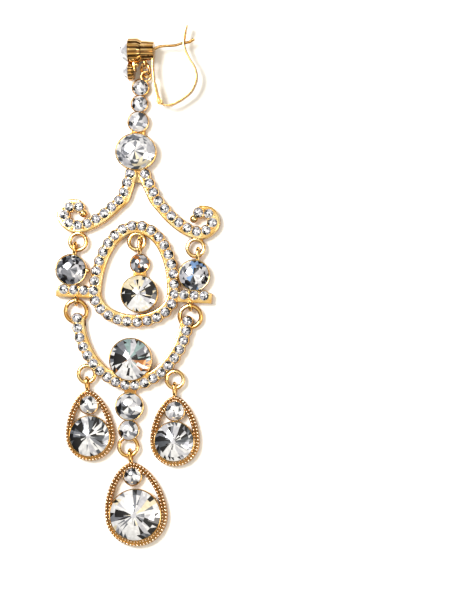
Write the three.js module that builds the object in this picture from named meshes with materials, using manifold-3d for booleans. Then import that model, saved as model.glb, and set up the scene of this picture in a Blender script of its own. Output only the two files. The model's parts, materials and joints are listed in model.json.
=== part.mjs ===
// Chandelier earring, lying face up on a table, in millimetres with +Z up and the head at +Y.
// The head lies on its side, so its two stones face -X and its leverback clasp opens towards +X.
// From the head hangs a stem of stones with two scrolled arms, then an egg-shaped frame with a
// drop inside it, then a U-shaped frame, and from that three pear-shaped drops.
import * as THREE from 'three';
import { mergeVertices } from 'three/addons/utils/BufferGeometryUtils.js';
import Module from 'manifold-3d';

const wasm = await Module();
wasm.setup();

// Stone settings
const CUP_WALL = 0.22;
const CUP_FLOOR = 0.4;
const CUP_FOOT_SHARE = 0.8; // a cup's foot across, as a share of its rim across
const CUP_TAPER_SHARE = 0.35; // the part of a cup's height that widens from foot to rim
const CUP_OVERLAP = 0.3; // soldered neighbours run this far into each other
const STONE_GAP = 0.08;
const GIRDLE = 0.15;
const RIM_LIP = 0.06;
const PAVILION_SHARE = 0.22; // a stone's depths, as shares of its diameter
const CROWN_SHARE = 0.16;
const TABLE_SHARE = 0.5;
const POINTED_TABLE_SHARE = 0.12; // the large stones rise almost to a point
const SIDES_SMALL = 12;
const SIDES_LARGE = 16;

// Pave bands: a row of small stones on round seats, with a smooth ledge along one side
const PAVE_PITCH = 2.03;
const PAVE_HEIGHT = 1.9;
const PAVE_CROWN = 0.45;
const PAVE_SEAT_SHARE = 0.56; // seat radius, as a share of the pitch, so that seats overlap
const PAVE_EDGE = 0.2; // metal left round each pave stone
const PAVE_TABLE_SHARE = 0.55;
const LEDGE_WIDTH = 0.35;
const PAVE_SIDES = 8;

// Rings lie flat, and loops stand on edge round the wire of the ring above
const RING_WIRE = 0.84;
const LINK_CLEARANCE = 0.18;
const LOOP_WIRE = 0.65;
const RING_SINK = 0.3; // how far a soldered ring or loop runs into what carries it
const LINK_STEPS = 12;
const WIRE_SIDES = 6;

// Collars, necks and round gold beads
const LOW_HEIGHT = 1.2;

// Stem, collar and oval cup
const STEM_ACROSS = [3.6, 3.6, 4.4]; // cups from the top down
const COLLAR_WIDTH = 3;
const COLLAR_LENGTH = 0.4;
const OVAL_LENGTH = 7.6;
const OVAL_WIDTH = 8.4;
const ARMS_TILT = -3.5;

// Arms: the line of stones of one arm, from its root to the inside of its curl
const ARM_SPAN = 15.14;
const ARM_DROP = 15.44;
const ARM_SHIFT = 1.25; // the pair stands this far to the right of the oval cup
const ARM_SHIFT_BY = 0.6; // and has reached that shift at this share of its drop
const ARM_PATH = [
  { out: 0.098, down: 0.286 },
  { out: 0.188, down: 0.509 },
  { out: 0.232, down: 0.606 },
  { out: 0.32, down: 0.696 },
  { out: 0.412, down: 0.79 },
  { out: 0.515, down: 0.874 },
  { out: 0.639, down: 0.952 },
  { out: 0.762, down: 0.997 },
  { out: 0.886, down: 1 },
  { out: 1, down: 0.889 },
  { out: 0.951, down: 0.768 },
  { out: 0.808, down: 0.755 },
];
const ARM_WEB = 1.8; // metal between the two roots, over their whole height
const CURL_BEAD = 1.7;
const CURL_BEAD_OUT = 0.745;
const CURL_BEAD_DOWN = 0.837;
const CURL_RING_ACROSS = 4.2;
const CURL_RING_OUT = 0.793;

// Egg frame, with its bars, side cups and lugs
const EGG_HALF_WIDTH = 8.2;
const EGG_RISE = 13.5;
const EGG_DROP = 5.9;
const EGG_TILT = -3;
const BAR_STONES = 3;
const BAR_END = 0.4;
const SIDE_ACROSS = 6.4;
const SIDE_SHIFT = -0.5; // both side cups sit this far off the middle of their loops
const SIDE_SLIDE = 0.53; // and their loops this far out on the rings of the curls
const SIDE_LOOP_LENGTH = 2.9;
const SIDE_LOOP_SLACK = -0.3; // height of the ring's wire above the middle of the loop
const JOIN_BEAD = 1.3;
const EGG_RING_ACROSS = 4;
const LUG_LENGTH = 2.4;
const LUG_SLIDE = 0.45; // the lugs are this much further apart than the tips of the U frame

// The drop inside the egg
const PENDANT_TILT = 0;
const PENDANT_SHIFT = 0.7; // how far it has slid along the ring
const PENDANT_LOOP_LENGTH = 3.7;
const PENDANT_LOOP_SLACK = -0.6;
const PENDANT_SMALL_ACROSS = 4.1;
const PENDANT_LARGE_ACROSS = 7.6;
const PENDANT_COLLAR_WIDTH = 2.6;
const PENDANT_COLLAR_LENGTH = 0.25;

// Jump rings under the bars
const BAR_RING_ACROSS = 5.2;
const BAR_RING_WIRE = 0.88;

// U frame
const U_HALF_WIDTH = 11.2;
const U_DEPTH = 13.2;
const U_ROUNDNESS = 1.8; // exponent of its outline: 2 is an ellipse, less is more pointed
const U_TILT = -1.8;
const U_LARGE_ACROSS = 8.7;
const U_MIDDLE_ACROSS = 5.8;
const U_SMALL_ACROSS = 4.3;
const U_NECK_WIDTH = 2.4;
const U_NECK_LENGTH = 0.2;
const U_SIDE_RING_ACROSS = 4.2;
const U_LEFT_RING = { out: 0.64, sink: 0.8 }; // out is a share of the half width
const U_RIGHT_RING = { out: 0.62, sink: 0.3 };
const U_END_RING_ACROSS = 4.6;
const U_END_RING_SINK = 1.2;
const TUNNEL_FLOOR = 0.3;
const TUNNEL_DROP = 0.94; // the ring's wire passes this far below the middle of the tip stone

// Pear-shaped drops
const DROP_BORDER = 1.2;
const DROP_HEIGHT = 1.6;
const DROP_LOOP_LENGTH = 3.2;
const DROP_SHOULDER = 0.4; // the curve from the point: its first pull outwards
const DROP_FLANK = 0.45; // and its last pull upwards
const DROPS = {
  left: { length: 14.2, halfWidth: 4.96, small: 4, large: 8.4, tilt: 3.5, shift: 0.15, slack: 0.3 },
  right: { length: 14.06, halfWidth: 4.96, small: 4.2, large: 8.2, tilt: 0, shift: 0, slack: 0.3 },
  bottom: { length: 16.76, halfWidth: 6.3, small: 3.8, large: 10.5, tilt: 5.8, shift: 0.5, slack: 0.1 },
};

// Head: two cups on a base, an eyelet below, and the front of the leverback
const HEAD_LARGE_ACROSS = 5.2;
const HEAD_LARGE_DEPTH = 2.5;
const HEAD_SMALL_ACROSS = 3.7;
const HEAD_CROWN_SHARE = 0.36;
const HEAD_FRONT = 3.3; // from the eyelet's middle to the rim of the large cup
const HEAD_BACKING = 0.6;
const HEAD_BACKING_WIDTH = 2.2;
const BOSS_ACROSS = 3.6;
const EYELET_WIRE = 0.55;
const EYELET_RADIUS = 0.95;
const HEAD_RISE = 2.45; // from the eyelet's middle up to the large stone's middle
const HEAD_RING_ACROSS = 3.3;
const HEAD_RING_WIRE = 0.6;
const HEAD_RING_DROP = 0.9; // the ring is this much lower at the stem than at the head
const HEAD_RING_TURN = 45;
const STEM_EYELET_LEAN = 23; // direction of the eyelet from the top cup, off the stem's line

// Leverback clasp
const CLASP_REACH = 7.5;
const CLASP_HEIGHT = 11.8;
const CLASP_WIDTH = 1.8;
const CLASP_STRIP = 0.4;
const PLATE_WIDTH = 1.4;
const EAR_WIRE = 0.6;
const PIVOT_OUT = 3.1; // the hinge, measured from the eyelet's middle
const PIVOT_DROP = 7.95;
const PIN_ACROSS = 0.5;
const HINGE_CLEARANCE = 0.1;
const BARREL_ACROSS = 1.2;
const CHEEK = 0.35;
const SLOT_CLEARANCE = 0.15;
const SLOT_LOW = 0.955; // the slot's ends, as shares of the clasp's height above the hinge
const SLOT_HIGH = 1.18;
const SLOT_OUT = 0.665;
const PLATE_PATH = [
  { out: -0.16, up: 0.93 },
  { out: -0.192, up: 0.66 },
  { out: -0.147, up: 0.322 },
  { out: -0.085, up: 0.12 },
];
const EAR_WIRE_PATH = [
  { out: -0.17, up: 0.9 },
  { out: -0.013, up: 0.949 },
  { out: 0.413, up: 0.966 },
  { out: 0.6, up: 1 },
  { out: 0.787, up: 1.017 },
  { out: 0.92, up: 1.068 },
];
const LEVER_PATH = [
  { out: 0.12, up: -0.06 },
  { out: 0.253, up: -0.068 },
  { out: 0.413, up: -0.034 },
  { out: 0.627, up: 0.042 },
  { out: 0.84, up: 0.153 },
  { out: 0.947, up: 0.271 },
  { out: 1, up: 0.407 },
  { out: 0.947, up: 0.576 },
  { out: 0.787, up: 0.746 },
  { out: 0.68, up: 0.898 },
  { out: 0.653, up: 1 },
  { out: 0.68, up: 1.169 },
  { out: 0.733, up: 1.305 },
];

const BEAD_SIDES = 10;
const FLATNESS = 1e-4; // faces this close to one plane count as flat
const ABOVE = 5; // a cut reaches this far above the work
const DEGREE = Math.PI / 180;

// Sizes that several pieces share
const SEAT_RADIUS = PAVE_PITCH * PAVE_SEAT_SHARE;
const LOOP_HEIGHT = RING_WIRE + 2 * (LINK_CLEARANCE + LOOP_WIRE);
const RING_Z = LOOP_HEIGHT / 2;

const gold = new THREE.MeshStandardMaterial({
  color: 0xd8b06a,
  roughness: 0.22,
  metalness: 1,
  flatShading: true,
});
const crystal = new THREE.MeshStandardMaterial({
  color: 0xdde2ea,
  roughness: 0.05,
  metalness: 0.1,
  flatShading: true,
});

// Turns a closed three.js geometry into a solid that can be joined and cut.
function solidOf(geometry) {
  const bare = geometry.clone();
  bare.deleteAttribute('normal');
  bare.deleteAttribute('uv');
  const merged = mergeVertices(bare, 1e-5);
  const corners = [];
  for (let i = 0; i < merged.index.count; i += 3) {
    const [a, b, c] = [0, 1, 2].map((k) => merged.index.getX(i + k));
    if (a !== b && b !== c && c !== a) corners.push([a, b, c]);
  }
  const build = (triangles) => new wasm.Manifold(new wasm.Mesh({
    numProp: 3,
    vertProperties: new Float32Array(merged.attributes.position.array),
    triVerts: new Uint32Array(triangles.flat()),
  }));
  const solid = build(corners);
  return solid.volume() > 0 ? solid : build(corners.map(([a, b, c]) => [a, c, b]));
}

function meshOf(name, solid, material) {
  const { vertProperties, triVerts } = solid.getMesh();
  const geometry = new THREE.BufferGeometry();
  geometry.setAttribute('position', new THREE.BufferAttribute(vertProperties, 3));
  geometry.setIndex(new THREE.BufferAttribute(triVerts, 1));
  const mesh = new THREE.Mesh(geometry, material);
  mesh.name = name;
  return mesh;
}

// Joins solids into one; asOriginal lets flat faces that now meet become one face.
function unite(solids) {
  return solids.reduce((sum, solid) => sum.add(solid)).asOriginal().simplify(FLATNESS);
}

// A solid turned on the Z axis, from [radius, height] pairs that start and end on the axis.
function turned(profile, sides) {
  const points = profile.map(([radius, height]) => new THREE.Vector2(radius, height));
  const geometry = new THREE.LatheGeometry(points, sides);
  return geometry.rotateX(Math.PI / 2).rotateZ(Math.PI / sides);
}

function block(width, length, height) {
  return new THREE.BoxGeometry(width, length, height).translate(0, 0, height / 2);
}

function bead(across, x, y, z) {
  return solidOf(new THREE.SphereGeometry(across / 2, BEAD_SIDES, BEAD_SIDES / 2).translate(x, y, z));
}

// A round link in the XY plane, drawn out along Y to the given length.
function link(across, wire, length = across) {
  const geometry = new THREE.TorusGeometry((across - wire) / 2, wire / 2, WIRE_SIDES, LINK_STEPS);
  geometry.rotateZ(Math.PI / LINK_STEPS);
  const position = geometry.attributes.position;
  const stretch = (length - across) / 2;
  for (let i = 0; i < position.count; i += 1) {
    const y = position.getY(i);
    position.setY(i, y + Math.sign(y) * stretch);
  }
  return geometry;
}

// A ring that lies flat at the height of every soldered ring.
function flatRing(across, x, y) {
  return solidOf(link(across, RING_WIRE).translate(x, y, RING_Z));
}

// A loop that stands on edge, in the plane of Y and Z.
function standingLoop(length, x, y) {
  return solidOf(link(LOOP_HEIGHT, LOOP_WIRE, length).rotateY(Math.PI / 2).translate(x, y, RING_Z));
}

// The line beside a row of points, on the left of travel for a positive distance.
function beside(points, distance, closed) {
  const last = points.length - 1;
  return points.map((point, i) => {
    const before = points[i > 0 ? i - 1 : (closed ? last : 0)];
    const after = points[i < last ? i + 1 : (closed ? 0 : last)];
    const along = after.clone().sub(before).normalize();
    return new THREE.Vector2(point.x - along.y * distance, point.y + along.x * distance);
  });
}

// A flat plate with the given corners, and a thickness from one height to another.
function plate(corners, low, high) {
  const shape = new THREE.Shape(corners);
  const geometry = new THREE.ExtrudeGeometry(shape, { depth: high - low, bevelEnabled: false });
  return solidOf(geometry.translate(0, 0, low));
}

// A band of metal between two lines beside a row of points; round a closed row it is open inside.
function ribbon(points, from, to, low, high, closed = false) {
  const near = beside(points, from, closed);
  const far = beside(points, to, closed);
  if (!closed) return plate([...near, ...far.reverse()], low, high);
  const area = (line) => Math.abs(THREE.ShapeUtils.area(line));
  const [inner, outer] = [near, far].sort((a, b) => area(a) - area(b));
  return plate(outer, low, high).subtract(plate(inner, low - ABOVE, high + ABOVE));
}

// Evenly spaced points on a curve; a closed one doesn't repeat its first point.
function pointsOn(curve, count, closed = false) {
  const steps = closed ? count : count - 1;
  return Array.from({ length: count }, (_, i) => {
    const { x, y } = curve.getPointAt(i / steps);
    return new THREE.Vector2(x, y);
  });
}

function curveThrough(points, closed = false) {
  return new THREE.CatmullRomCurve3(points.map(({ x, y }) => new THREE.Vector3(x, y, 0)), closed);
}

// One small stone on its seat, as one turned shape.
function paveStone({ x, y }) {
  const stoneRadius = SEAT_RADIUS - PAVE_EDGE;
  const top = PAVE_HEIGHT + PAVE_CROWN;
  const stone = turned([
    [0, 0],
    [SEAT_RADIUS, 0],
    [SEAT_RADIUS, PAVE_HEIGHT],
    [stoneRadius, PAVE_HEIGHT],
    [stoneRadius * PAVE_TABLE_SHARE, top],
    [0, top],
  ], PAVE_SIDES);
  return solidOf(stone.translate(x, y, 0));
}

// A row of pave stones along a curve, with the ledge on its left (side 1) or right (side -1).
function paveRow(curve, side, closed = false) {
  const gaps = Math.round(curve.getLength() / PAVE_PITCH);
  const count = closed ? gaps : gaps + 1;
  const line = pointsOn(curve, closed ? 2 * gaps : 2 * gaps + 1, closed);
  const edge = side * (SEAT_RADIUS + LEDGE_WIDTH);
  return unite([
    ribbon(line, -side * SEAT_RADIUS / 2, edge, 0, PAVE_HEIGHT, closed),
    ...pointsOn(curve, count, closed).map(paveStone),
  ]);
}

// The sizes of a cup and of the stone that it holds, from the cup's outer diameter.
function setting(across, options = {}) {
  const {
    floor = CUP_FLOOR,
    crownShare = CROWN_SHARE,
    tableShare = TABLE_SHARE,
    sides = SIDES_SMALL,
  } = options;
  const radius = across / 2;
  const stoneRadius = radius - CUP_WALL - STONE_GAP;
  const pavilion = 2 * stoneRadius * PAVILION_SHARE;
  const girdleLow = floor + STONE_GAP + pavilion;
  const girdleHigh = girdleLow + GIRDLE;
  return {
    radius,
    floor,
    sides,
    stoneRadius,
    girdleLow,
    girdleHigh,
    table: stoneRadius * tableShare,
    top: girdleHigh + 2 * stoneRadius * crownShare,
    height: girdleHigh + RIM_LIP,
  };
}

function pointedSetting(across) {
  return setting(across, { tableShare: POINTED_TABLE_SHARE, sides: SIDES_LARGE });
}

function cupGeometry({ radius, height, sides }) {
  const foot = radius * CUP_FOOT_SHARE;
  const taper = height * CUP_TAPER_SHARE;
  return turned([[0, 0], [foot, 0], [radius, taper], [radius, height], [0, height]], sides);
}

function pocketGeometry({ stoneRadius, girdleLow, height, floor, sides }) {
  const wide = stoneRadius + STONE_GAP;
  const seat = girdleLow - STONE_GAP;
  const top = height + ABOVE;
  return turned([[0, floor], [stoneRadius, seat], [wide, seat], [wide, top], [0, top]], sides);
}

function stoneGeometry({ stoneRadius, girdleLow, girdleHigh, table, top, floor, sides }) {
  return turned([
    [0, floor + STONE_GAP],
    [stoneRadius, girdleLow],
    [stoneRadius, girdleHigh],
    [table, top],
    [0, top],
  ], sides);
}

// A cup, its pocket and its stone at one place; `lay` moves or turns each geometry.
function fitted(sizes, lay) {
  return {
    sizes,
    cup: solidOf(lay(cupGeometry(sizes))),
    pocket: solidOf(lay(pocketGeometry(sizes))),
    stone: solidOf(lay(stoneGeometry(sizes))),
  };
}

function fittedAt(sizes, x, y) {
  return fitted(sizes, (geometry) => geometry.translate(x, y, 0));
}

// Metal with its cups joined on and every pocket cut out.
function mounted(metal, cups) {
  return unite([...metal, ...cups.map(({ cup }) => cup)]).subtract(unite(cups.map(({ pocket }) => pocket)));
}

// A place in the plane: where a piece's own origin lies, and how it is turned.
function placeBy(tilt, local, world) {
  const angle = tilt * DEGREE;
  const turnedLocal = new THREE.Vector2(local.x, local.y).rotateAround(new THREE.Vector2(), angle);
  return { angle, origin: new THREE.Vector2(world.x, world.y).sub(turnedLocal) };
}

function worldPoint(place, x, y) {
  return new THREE.Vector2(x, y).rotateAround(new THREE.Vector2(), place.angle).add(place.origin);
}

function groupAt(place, meshes) {
  const group = new THREE.Group();
  group.position.set(place.origin.x, place.origin.y, 0);
  group.rotation.z = place.angle;
  group.add(...meshes);
  return group;
}

function middle(a, b) {
  return a.clone().add(b).multiplyScalar(0.5);
}

// How far below a ring's middle its wire lies, this far to one side.
function wireDrop(across, wire, sideways) {
  const radius = (across - wire) / 2;
  return Math.sqrt(radius ** 2 - sideways ** 2);
}

// Arms frame: the middle of the oval cup is its origin
const oval = setting(OVAL_LENGTH, { sides: SIDES_LARGE });
const stemSizes = STEM_ACROSS.map((across) => setting(across));
const stemY = [];
let nextTop = oval.radius + COLLAR_LENGTH;
for (const sizes of [...stemSizes].reverse()) {
  const y = nextTop + sizes.radius - CUP_OVERLAP;
  stemY.unshift(y);
  nextTop = y + sizes.radius;
}

function armCurve(side) {
  return curveThrough(ARM_PATH.map(({ out, down }) => armPoint(side, out, down)));
}

function armPoint(side, out, down) {
  const shift = ARM_SHIFT * Math.min(1, down / ARM_SHIFT_BY);
  return { x: side * out * ARM_SPAN + shift, y: -down * ARM_DROP };
}

const curlRingDrop = ARM_DROP + SEAT_RADIUS + LEDGE_WIDTH + CURL_RING_ACROSS / 2 - RING_SINK;
function curlRing(side) {
  return { x: side * CURL_RING_OUT * ARM_SPAN + ARM_SHIFT, y: -curlRingDrop };
}

const stemEyelet = (() => {
  const reach = stemSizes[0].radius + EYELET_RADIUS - EYELET_WIRE / 2;
  const lean = STEM_EYELET_LEAN * DEGREE;
  return { x: Math.sin(lean) * reach, y: stemY[0] + Math.cos(lean) * reach };
})();

function arm(side) {
  const tip = armPoint(side, CURL_BEAD_OUT, CURL_BEAD_DOWN);
  const ring = curlRing(side);
  return unite([
    paveRow(armCurve(side), -side),
    bead(CURL_BEAD, tip.x, tip.y, LOW_HEIGHT),
    flatRing(CURL_RING_ACROSS, ring.x, ring.y),
  ]);
}

function eyelet() {
  return link(2 * EYELET_RADIUS + EYELET_WIRE, EYELET_WIRE);
}

function armsMeshes() {
  const stem = stemSizes.map((sizes, i) => fittedAt(sizes, 0, stemY[i]));
  const stretch = OVAL_WIDTH / OVAL_LENGTH;
  const ovalCup = fitted(oval, (geometry) => geometry.scale(stretch, 1, 1));
  const collarLength = COLLAR_LENGTH + 4 * CUP_OVERLAP;
  const collar = block(COLLAR_WIDTH, collarLength, LOW_HEIGHT);
  const roots = [-1, 1].map((hand) => armPoint(hand, ARM_PATH[0].out, ARM_PATH[0].down));
  const webLength = -roots[0].y - oval.radius + 2 * CUP_OVERLAP + ARM_WEB;
  const web = block(roots[1].x - roots[0].x, webLength, PAVE_HEIGHT);
  const webY = -(oval.radius - 2 * CUP_OVERLAP + webLength / 2);
  const metal = [
    arm(-1),
    arm(1),
    solidOf(web.translate((roots[0].x + roots[1].x) / 2, webY, 0)),
    solidOf(collar.translate(0, oval.radius + COLLAR_LENGTH / 2, 0)),
    solidOf(eyelet().translate(stemEyelet.x, stemEyelet.y, RING_Z)),
  ];
  return [
    meshOf('arms_frame', mounted(metal, [...stem, ovalCup]), gold),
    ...stem.map(({ stone }, i) => meshOf(`stem_stone_${i + 1}`, stone, crystal)),
    meshOf('oval_stone', ovalCup.stone, crystal),
  ];
}

const armsPlace = placeBy(ARMS_TILT, { x: 0, y: 0 }, { x: 0, y: 0 });

// Egg frame: the middle of the line of its bars is its origin
const side = setting(SIDE_ACROSS, { sides: SIDES_LARGE });
const sideX = ARM_SPAN * CURL_RING_OUT + SIDE_SLIDE;
const sideY = SEAT_RADIUS + side.radius - CUP_OVERLAP;
const sideLoopY = sideY + side.radius + SIDE_LOOP_LENGTH / 2 - RING_SINK;
const barLow = SEAT_RADIUS + LEDGE_WIDTH;
const lugX = U_HALF_WIDTH + LUG_SLIDE;
const lugWireY = -(barLow + LINK_CLEARANCE + BAR_RING_WIRE / 2);
const eggRingY = EGG_RISE - SEAT_RADIUS - LEDGE_WIDTH - EGG_RING_ACROSS / 2 + RING_SINK;

function eggCurve() {
  const steps = 48;
  const points = Array.from({ length: steps }, (_, i) => {
    const angle = Math.PI + (i / steps) * 2 * Math.PI;
    const height = Math.sin(angle) < 0 ? EGG_DROP : EGG_RISE;
    return { x: EGG_HALF_WIDTH * Math.cos(angle), y: height * Math.sin(angle) };
  });
  return curveThrough(points, true);
}

function eggSide(hand) {
  const stones = Array.from({ length: BAR_STONES }, (_, i) => (
    paveStone({ x: hand * (EGG_HALF_WIDTH + (i + 1) * PAVE_PITCH), y: 0 })));
  const barLine = [
    new THREE.Vector2(hand * EGG_HALF_WIDTH, 0),
    new THREE.Vector2(hand * (EGG_HALF_WIDTH + BAR_STONES * PAVE_PITCH + SEAT_RADIUS + BAR_END), 0),
  ];
  return unite([
    ribbon(barLine, hand * SEAT_RADIUS / 2, -hand * barLow, 0, PAVE_HEIGHT),
    ...stones,
    standingLoop(SIDE_LOOP_LENGTH, hand * sideX, sideLoopY),
    standingLoop(LUG_LENGTH, hand * lugX, lugWireY),
    bead(JOIN_BEAD, hand * (sideX - side.radius) + SIDE_SHIFT, sideY, LOW_HEIGHT),
  ]);
}

function eggMeshes() {
  const hands = { left: -1, right: 1 };
  const cups = Object.values(hands).map((hand) => fittedAt(side, hand * sideX + SIDE_SHIFT, sideY));
  const metal = [
    paveRow(eggCurve(), 1, true),
    eggSide(-1),
    eggSide(1),
    flatRing(EGG_RING_ACROSS, 0, eggRingY),
  ];
  return [
    meshOf('egg_frame', mounted(metal, cups), gold),
    ...Object.keys(hands).map((name, i) => meshOf(`side_stone_${name}`, cups[i].stone, crystal)),
  ];
}

const eggPlace = (() => {
  const left = curlRing(-1);
  const right = curlRing(1);
  const drop = wireDrop(CURL_RING_ACROSS, RING_WIRE, SIDE_SLIDE);
  const wire = middle(
    worldPoint(armsPlace, left.x, left.y - drop),
    worldPoint(armsPlace, right.x, right.y - drop),
  );
  return placeBy(EGG_TILT, { x: 0, y: sideLoopY + SIDE_LOOP_SLACK }, wire);
})();

// Drop inside the egg: the wire that it hangs on is its origin
const pendantSmall = setting(PENDANT_SMALL_ACROSS);
const pendantLarge = pointedSetting(PENDANT_LARGE_ACROSS);

function pendantMeshes() {
  const loopY = -PENDANT_LOOP_SLACK;
  const smallY = loopY - PENDANT_LOOP_LENGTH / 2 + RING_SINK - pendantSmall.radius;
  const collarY = smallY - pendantSmall.radius - PENDANT_COLLAR_LENGTH / 2;
  const largeY = collarY - PENDANT_COLLAR_LENGTH / 2 - pendantLarge.radius;
  const cups = [fittedAt(pendantSmall, 0, smallY), fittedAt(pendantLarge, 0, largeY)];
  const collarLength = PENDANT_COLLAR_LENGTH + 4 * CUP_OVERLAP;
  const collar = block(PENDANT_COLLAR_WIDTH, collarLength, pendantSmall.height);
  const metal = [
    standingLoop(PENDANT_LOOP_LENGTH, 0, loopY),
    solidOf(collar.translate(0, collarY, 0)),
  ];
  return [
    meshOf('pendant_setting', mounted(metal, cups), gold),
    meshOf('pendant_stone_small', cups[0].stone, crystal),
    meshOf('pendant_stone_large', cups[1].stone, crystal),
  ];
}

const pendantPlace = placeBy(
  PENDANT_TILT,
  { x: 0, y: 0 },
  worldPoint(
    eggPlace,
    PENDANT_SHIFT,
    eggRingY - wireDrop(EGG_RING_ACROSS, RING_WIRE, PENDANT_SHIFT),
  ),
);

// Jump rings between the bars and the U frame: level in the lug, lower in the tunnel
const tunnelHeight = BAR_RING_WIRE + 2 * LINK_CLEARANCE;
const tunnelWireZ = TUNNEL_FLOOR + tunnelHeight / 2;
const barRingRadius = (BAR_RING_ACROSS - BAR_RING_WIRE) / 2;
const barRingY = lugWireY - barRingRadius;

function barRingMeshes() {
  const slope = Math.asin((RING_Z - tunnelWireZ) / (2 * barRingRadius));
  return ['left', 'right'].map((name, i) => {
    const mesh = meshOf(`bar_ring_${name}`, solidOf(link(BAR_RING_ACROSS, BAR_RING_WIRE)), gold);
    mesh.position.set((2 * i - 1) * lugX, barRingY, (RING_Z + tunnelWireZ) / 2);
    mesh.rotation.x = slope;
    return mesh;
  });
}

// U frame: the middle between its two tips is its origin
const uLarge = pointedSetting(U_LARGE_ACROSS);
const uMiddle = setting(U_MIDDLE_ACROSS);
const uSmall = setting(U_SMALL_ACROSS);

function uPoint(angle) {
  const power = 2 / U_ROUNDNESS;
  const across = Math.cos(angle);
  return {
    x: U_HALF_WIDTH * Math.sign(across) * Math.abs(across) ** power,
    y: -U_DEPTH * Math.abs(Math.sin(angle)) ** power,
  };
}

function uCurve() {
  const steps = 40;
  return curveThrough(Array.from({ length: steps + 1 }, (_, i) => uPoint(Math.PI * (1 - i / steps))));
}

// Where a side ring sits: out from the band, square to it.
function uSideRing(hand, { out, sink }) {
  const angle = Math.acos(out ** (U_ROUNDNESS / 2));
  const step = 0.01;
  const here = uPoint(angle);
  const next = uPoint(angle + step);
  const along = new THREE.Vector2(next.x - here.x, next.y - here.y).normalize();
  const reach = SEAT_RADIUS + U_SIDE_RING_ACROSS / 2 - sink;
  return { x: hand * (here.x - along.y * reach), y: here.y + along.x * reach };
}

const uLeftRing = uSideRing(-1, U_LEFT_RING);
const uRightRing = uSideRing(1, U_RIGHT_RING);
const uLargeY = -(U_DEPTH - SEAT_RADIUS - uLarge.radius + CUP_OVERLAP);
const uMiddleY = -(U_DEPTH + SEAT_RADIUS + U_NECK_LENGTH + uMiddle.radius);
const uSmallY = uMiddleY - uMiddle.radius - uSmall.radius + CUP_OVERLAP;
const uEndRingY = uSmallY - uSmall.radius - U_END_RING_ACROSS / 2 + U_END_RING_SINK;

function tunnel(hand) {
  const bend = barRingRadius - Math.sqrt(barRingRadius ** 2 - SEAT_RADIUS ** 2);
  const room = BAR_RING_WIRE / 2 + LINK_CLEARANCE;
  const low = -TUNNEL_DROP - room;
  const high = -TUNNEL_DROP + bend + room + LEDGE_WIDTH;
  const length = 4 * SEAT_RADIUS;
  const hole = block(length, high - low, tunnelHeight);
  return solidOf(hole.translate(hand * U_HALF_WIDTH, (low + high) / 2, TUNNEL_FLOOR));
}

function uMeshes() {
  const cups = [
    fittedAt(uLarge, 0, uLargeY),
    fittedAt(uMiddle, 0, uMiddleY),
    fittedAt(uSmall, 0, uSmallY),
  ];
  const neckLength = SEAT_RADIUS + U_NECK_LENGTH + 2 * CUP_OVERLAP;
  const neckY = -(U_DEPTH + neckLength / 2);
  const metal = [
    paveRow(uCurve(), 1).subtract(tunnel(-1)).subtract(tunnel(1)),
    solidOf(block(U_NECK_WIDTH, neckLength, LOW_HEIGHT).translate(0, neckY, 0)),
    flatRing(U_SIDE_RING_ACROSS, uLeftRing.x, uLeftRing.y),
    flatRing(U_SIDE_RING_ACROSS, uRightRing.x, uRightRing.y),
    flatRing(U_END_RING_ACROSS, 0, uEndRingY),
  ];
  return [
    meshOf('u_frame', mounted(metal, cups), gold),
    meshOf('u_stone_large', cups[0].stone, crystal),
    meshOf('u_stone_middle', cups[1].stone, crystal),
    meshOf('u_stone_small', cups[2].stone, crystal),
  ];
}

const uPlace = (() => {
  const wireY = barRingY - wireDrop(BAR_RING_ACROSS, BAR_RING_WIRE, LUG_SLIDE);
  const wire = middle(worldPoint(eggPlace, -lugX, wireY), worldPoint(eggPlace, lugX, wireY));
  return placeBy(U_TILT, { x: 0, y: -TUNNEL_DROP }, wire);
})();

// Pear-shaped drops: the wire that each hangs on is its origin
function pearOutline(length, halfWidth) {
  const rise = length - halfWidth;
  const path = new THREE.Path();
  const shoulder = DROP_SHOULDER * halfWidth;
  const flank = -DROP_FLANK * rise;
  path.moveTo(0, 0);
  path.bezierCurveTo(shoulder, 0, halfWidth, flank, halfWidth, -rise);
  path.absarc(0, -rise, halfWidth, 0, -Math.PI, true);
  path.bezierCurveTo(-halfWidth, flank, -shoulder, 0, 0, 0);
  return path;
}

function dropMeshes(name) {
  const { length, halfWidth, small, large, slack } = DROPS[name];
  const apexY = -slack - DROP_LOOP_LENGTH / 2 + RING_SINK;
  const outline = pearOutline(length, halfWidth);
  const steps = 36;
  const line = outline.getSpacedPoints(steps).slice(0, steps)
    .map(({ x, y }) => new THREE.Vector2(x, y + apexY));
  const smallSizes = setting(small);
  const largeSizes = pointedSetting(large);
  const cups = [
    fittedAt(smallSizes, 0, apexY - DROP_BORDER + CUP_OVERLAP - smallSizes.radius),
    fittedAt(largeSizes, 0, apexY - length + halfWidth),
  ];
  const metal = [
    ribbon(line, -DROP_BORDER, 0, 0, DROP_HEIGHT, true),
    standingLoop(DROP_LOOP_LENGTH, 0, -slack),
  ];
  return [
    meshOf(`teardrop_${name}`, mounted(metal, cups), gold),
    meshOf(`teardrop_${name}_stone_small`, cups[0].stone, crystal),
    meshOf(`teardrop_${name}_stone_large`, cups[1].stone, crystal),
  ];
}

function dropPlace(name, ring, across) {
  const { tilt, shift } = DROPS[name];
  const wire = worldPoint(uPlace, ring.x + shift, ring.y - wireDrop(across, RING_WIRE, shift));
  return placeBy(tilt, { x: 0, y: 0 }, wire);
}

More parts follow.
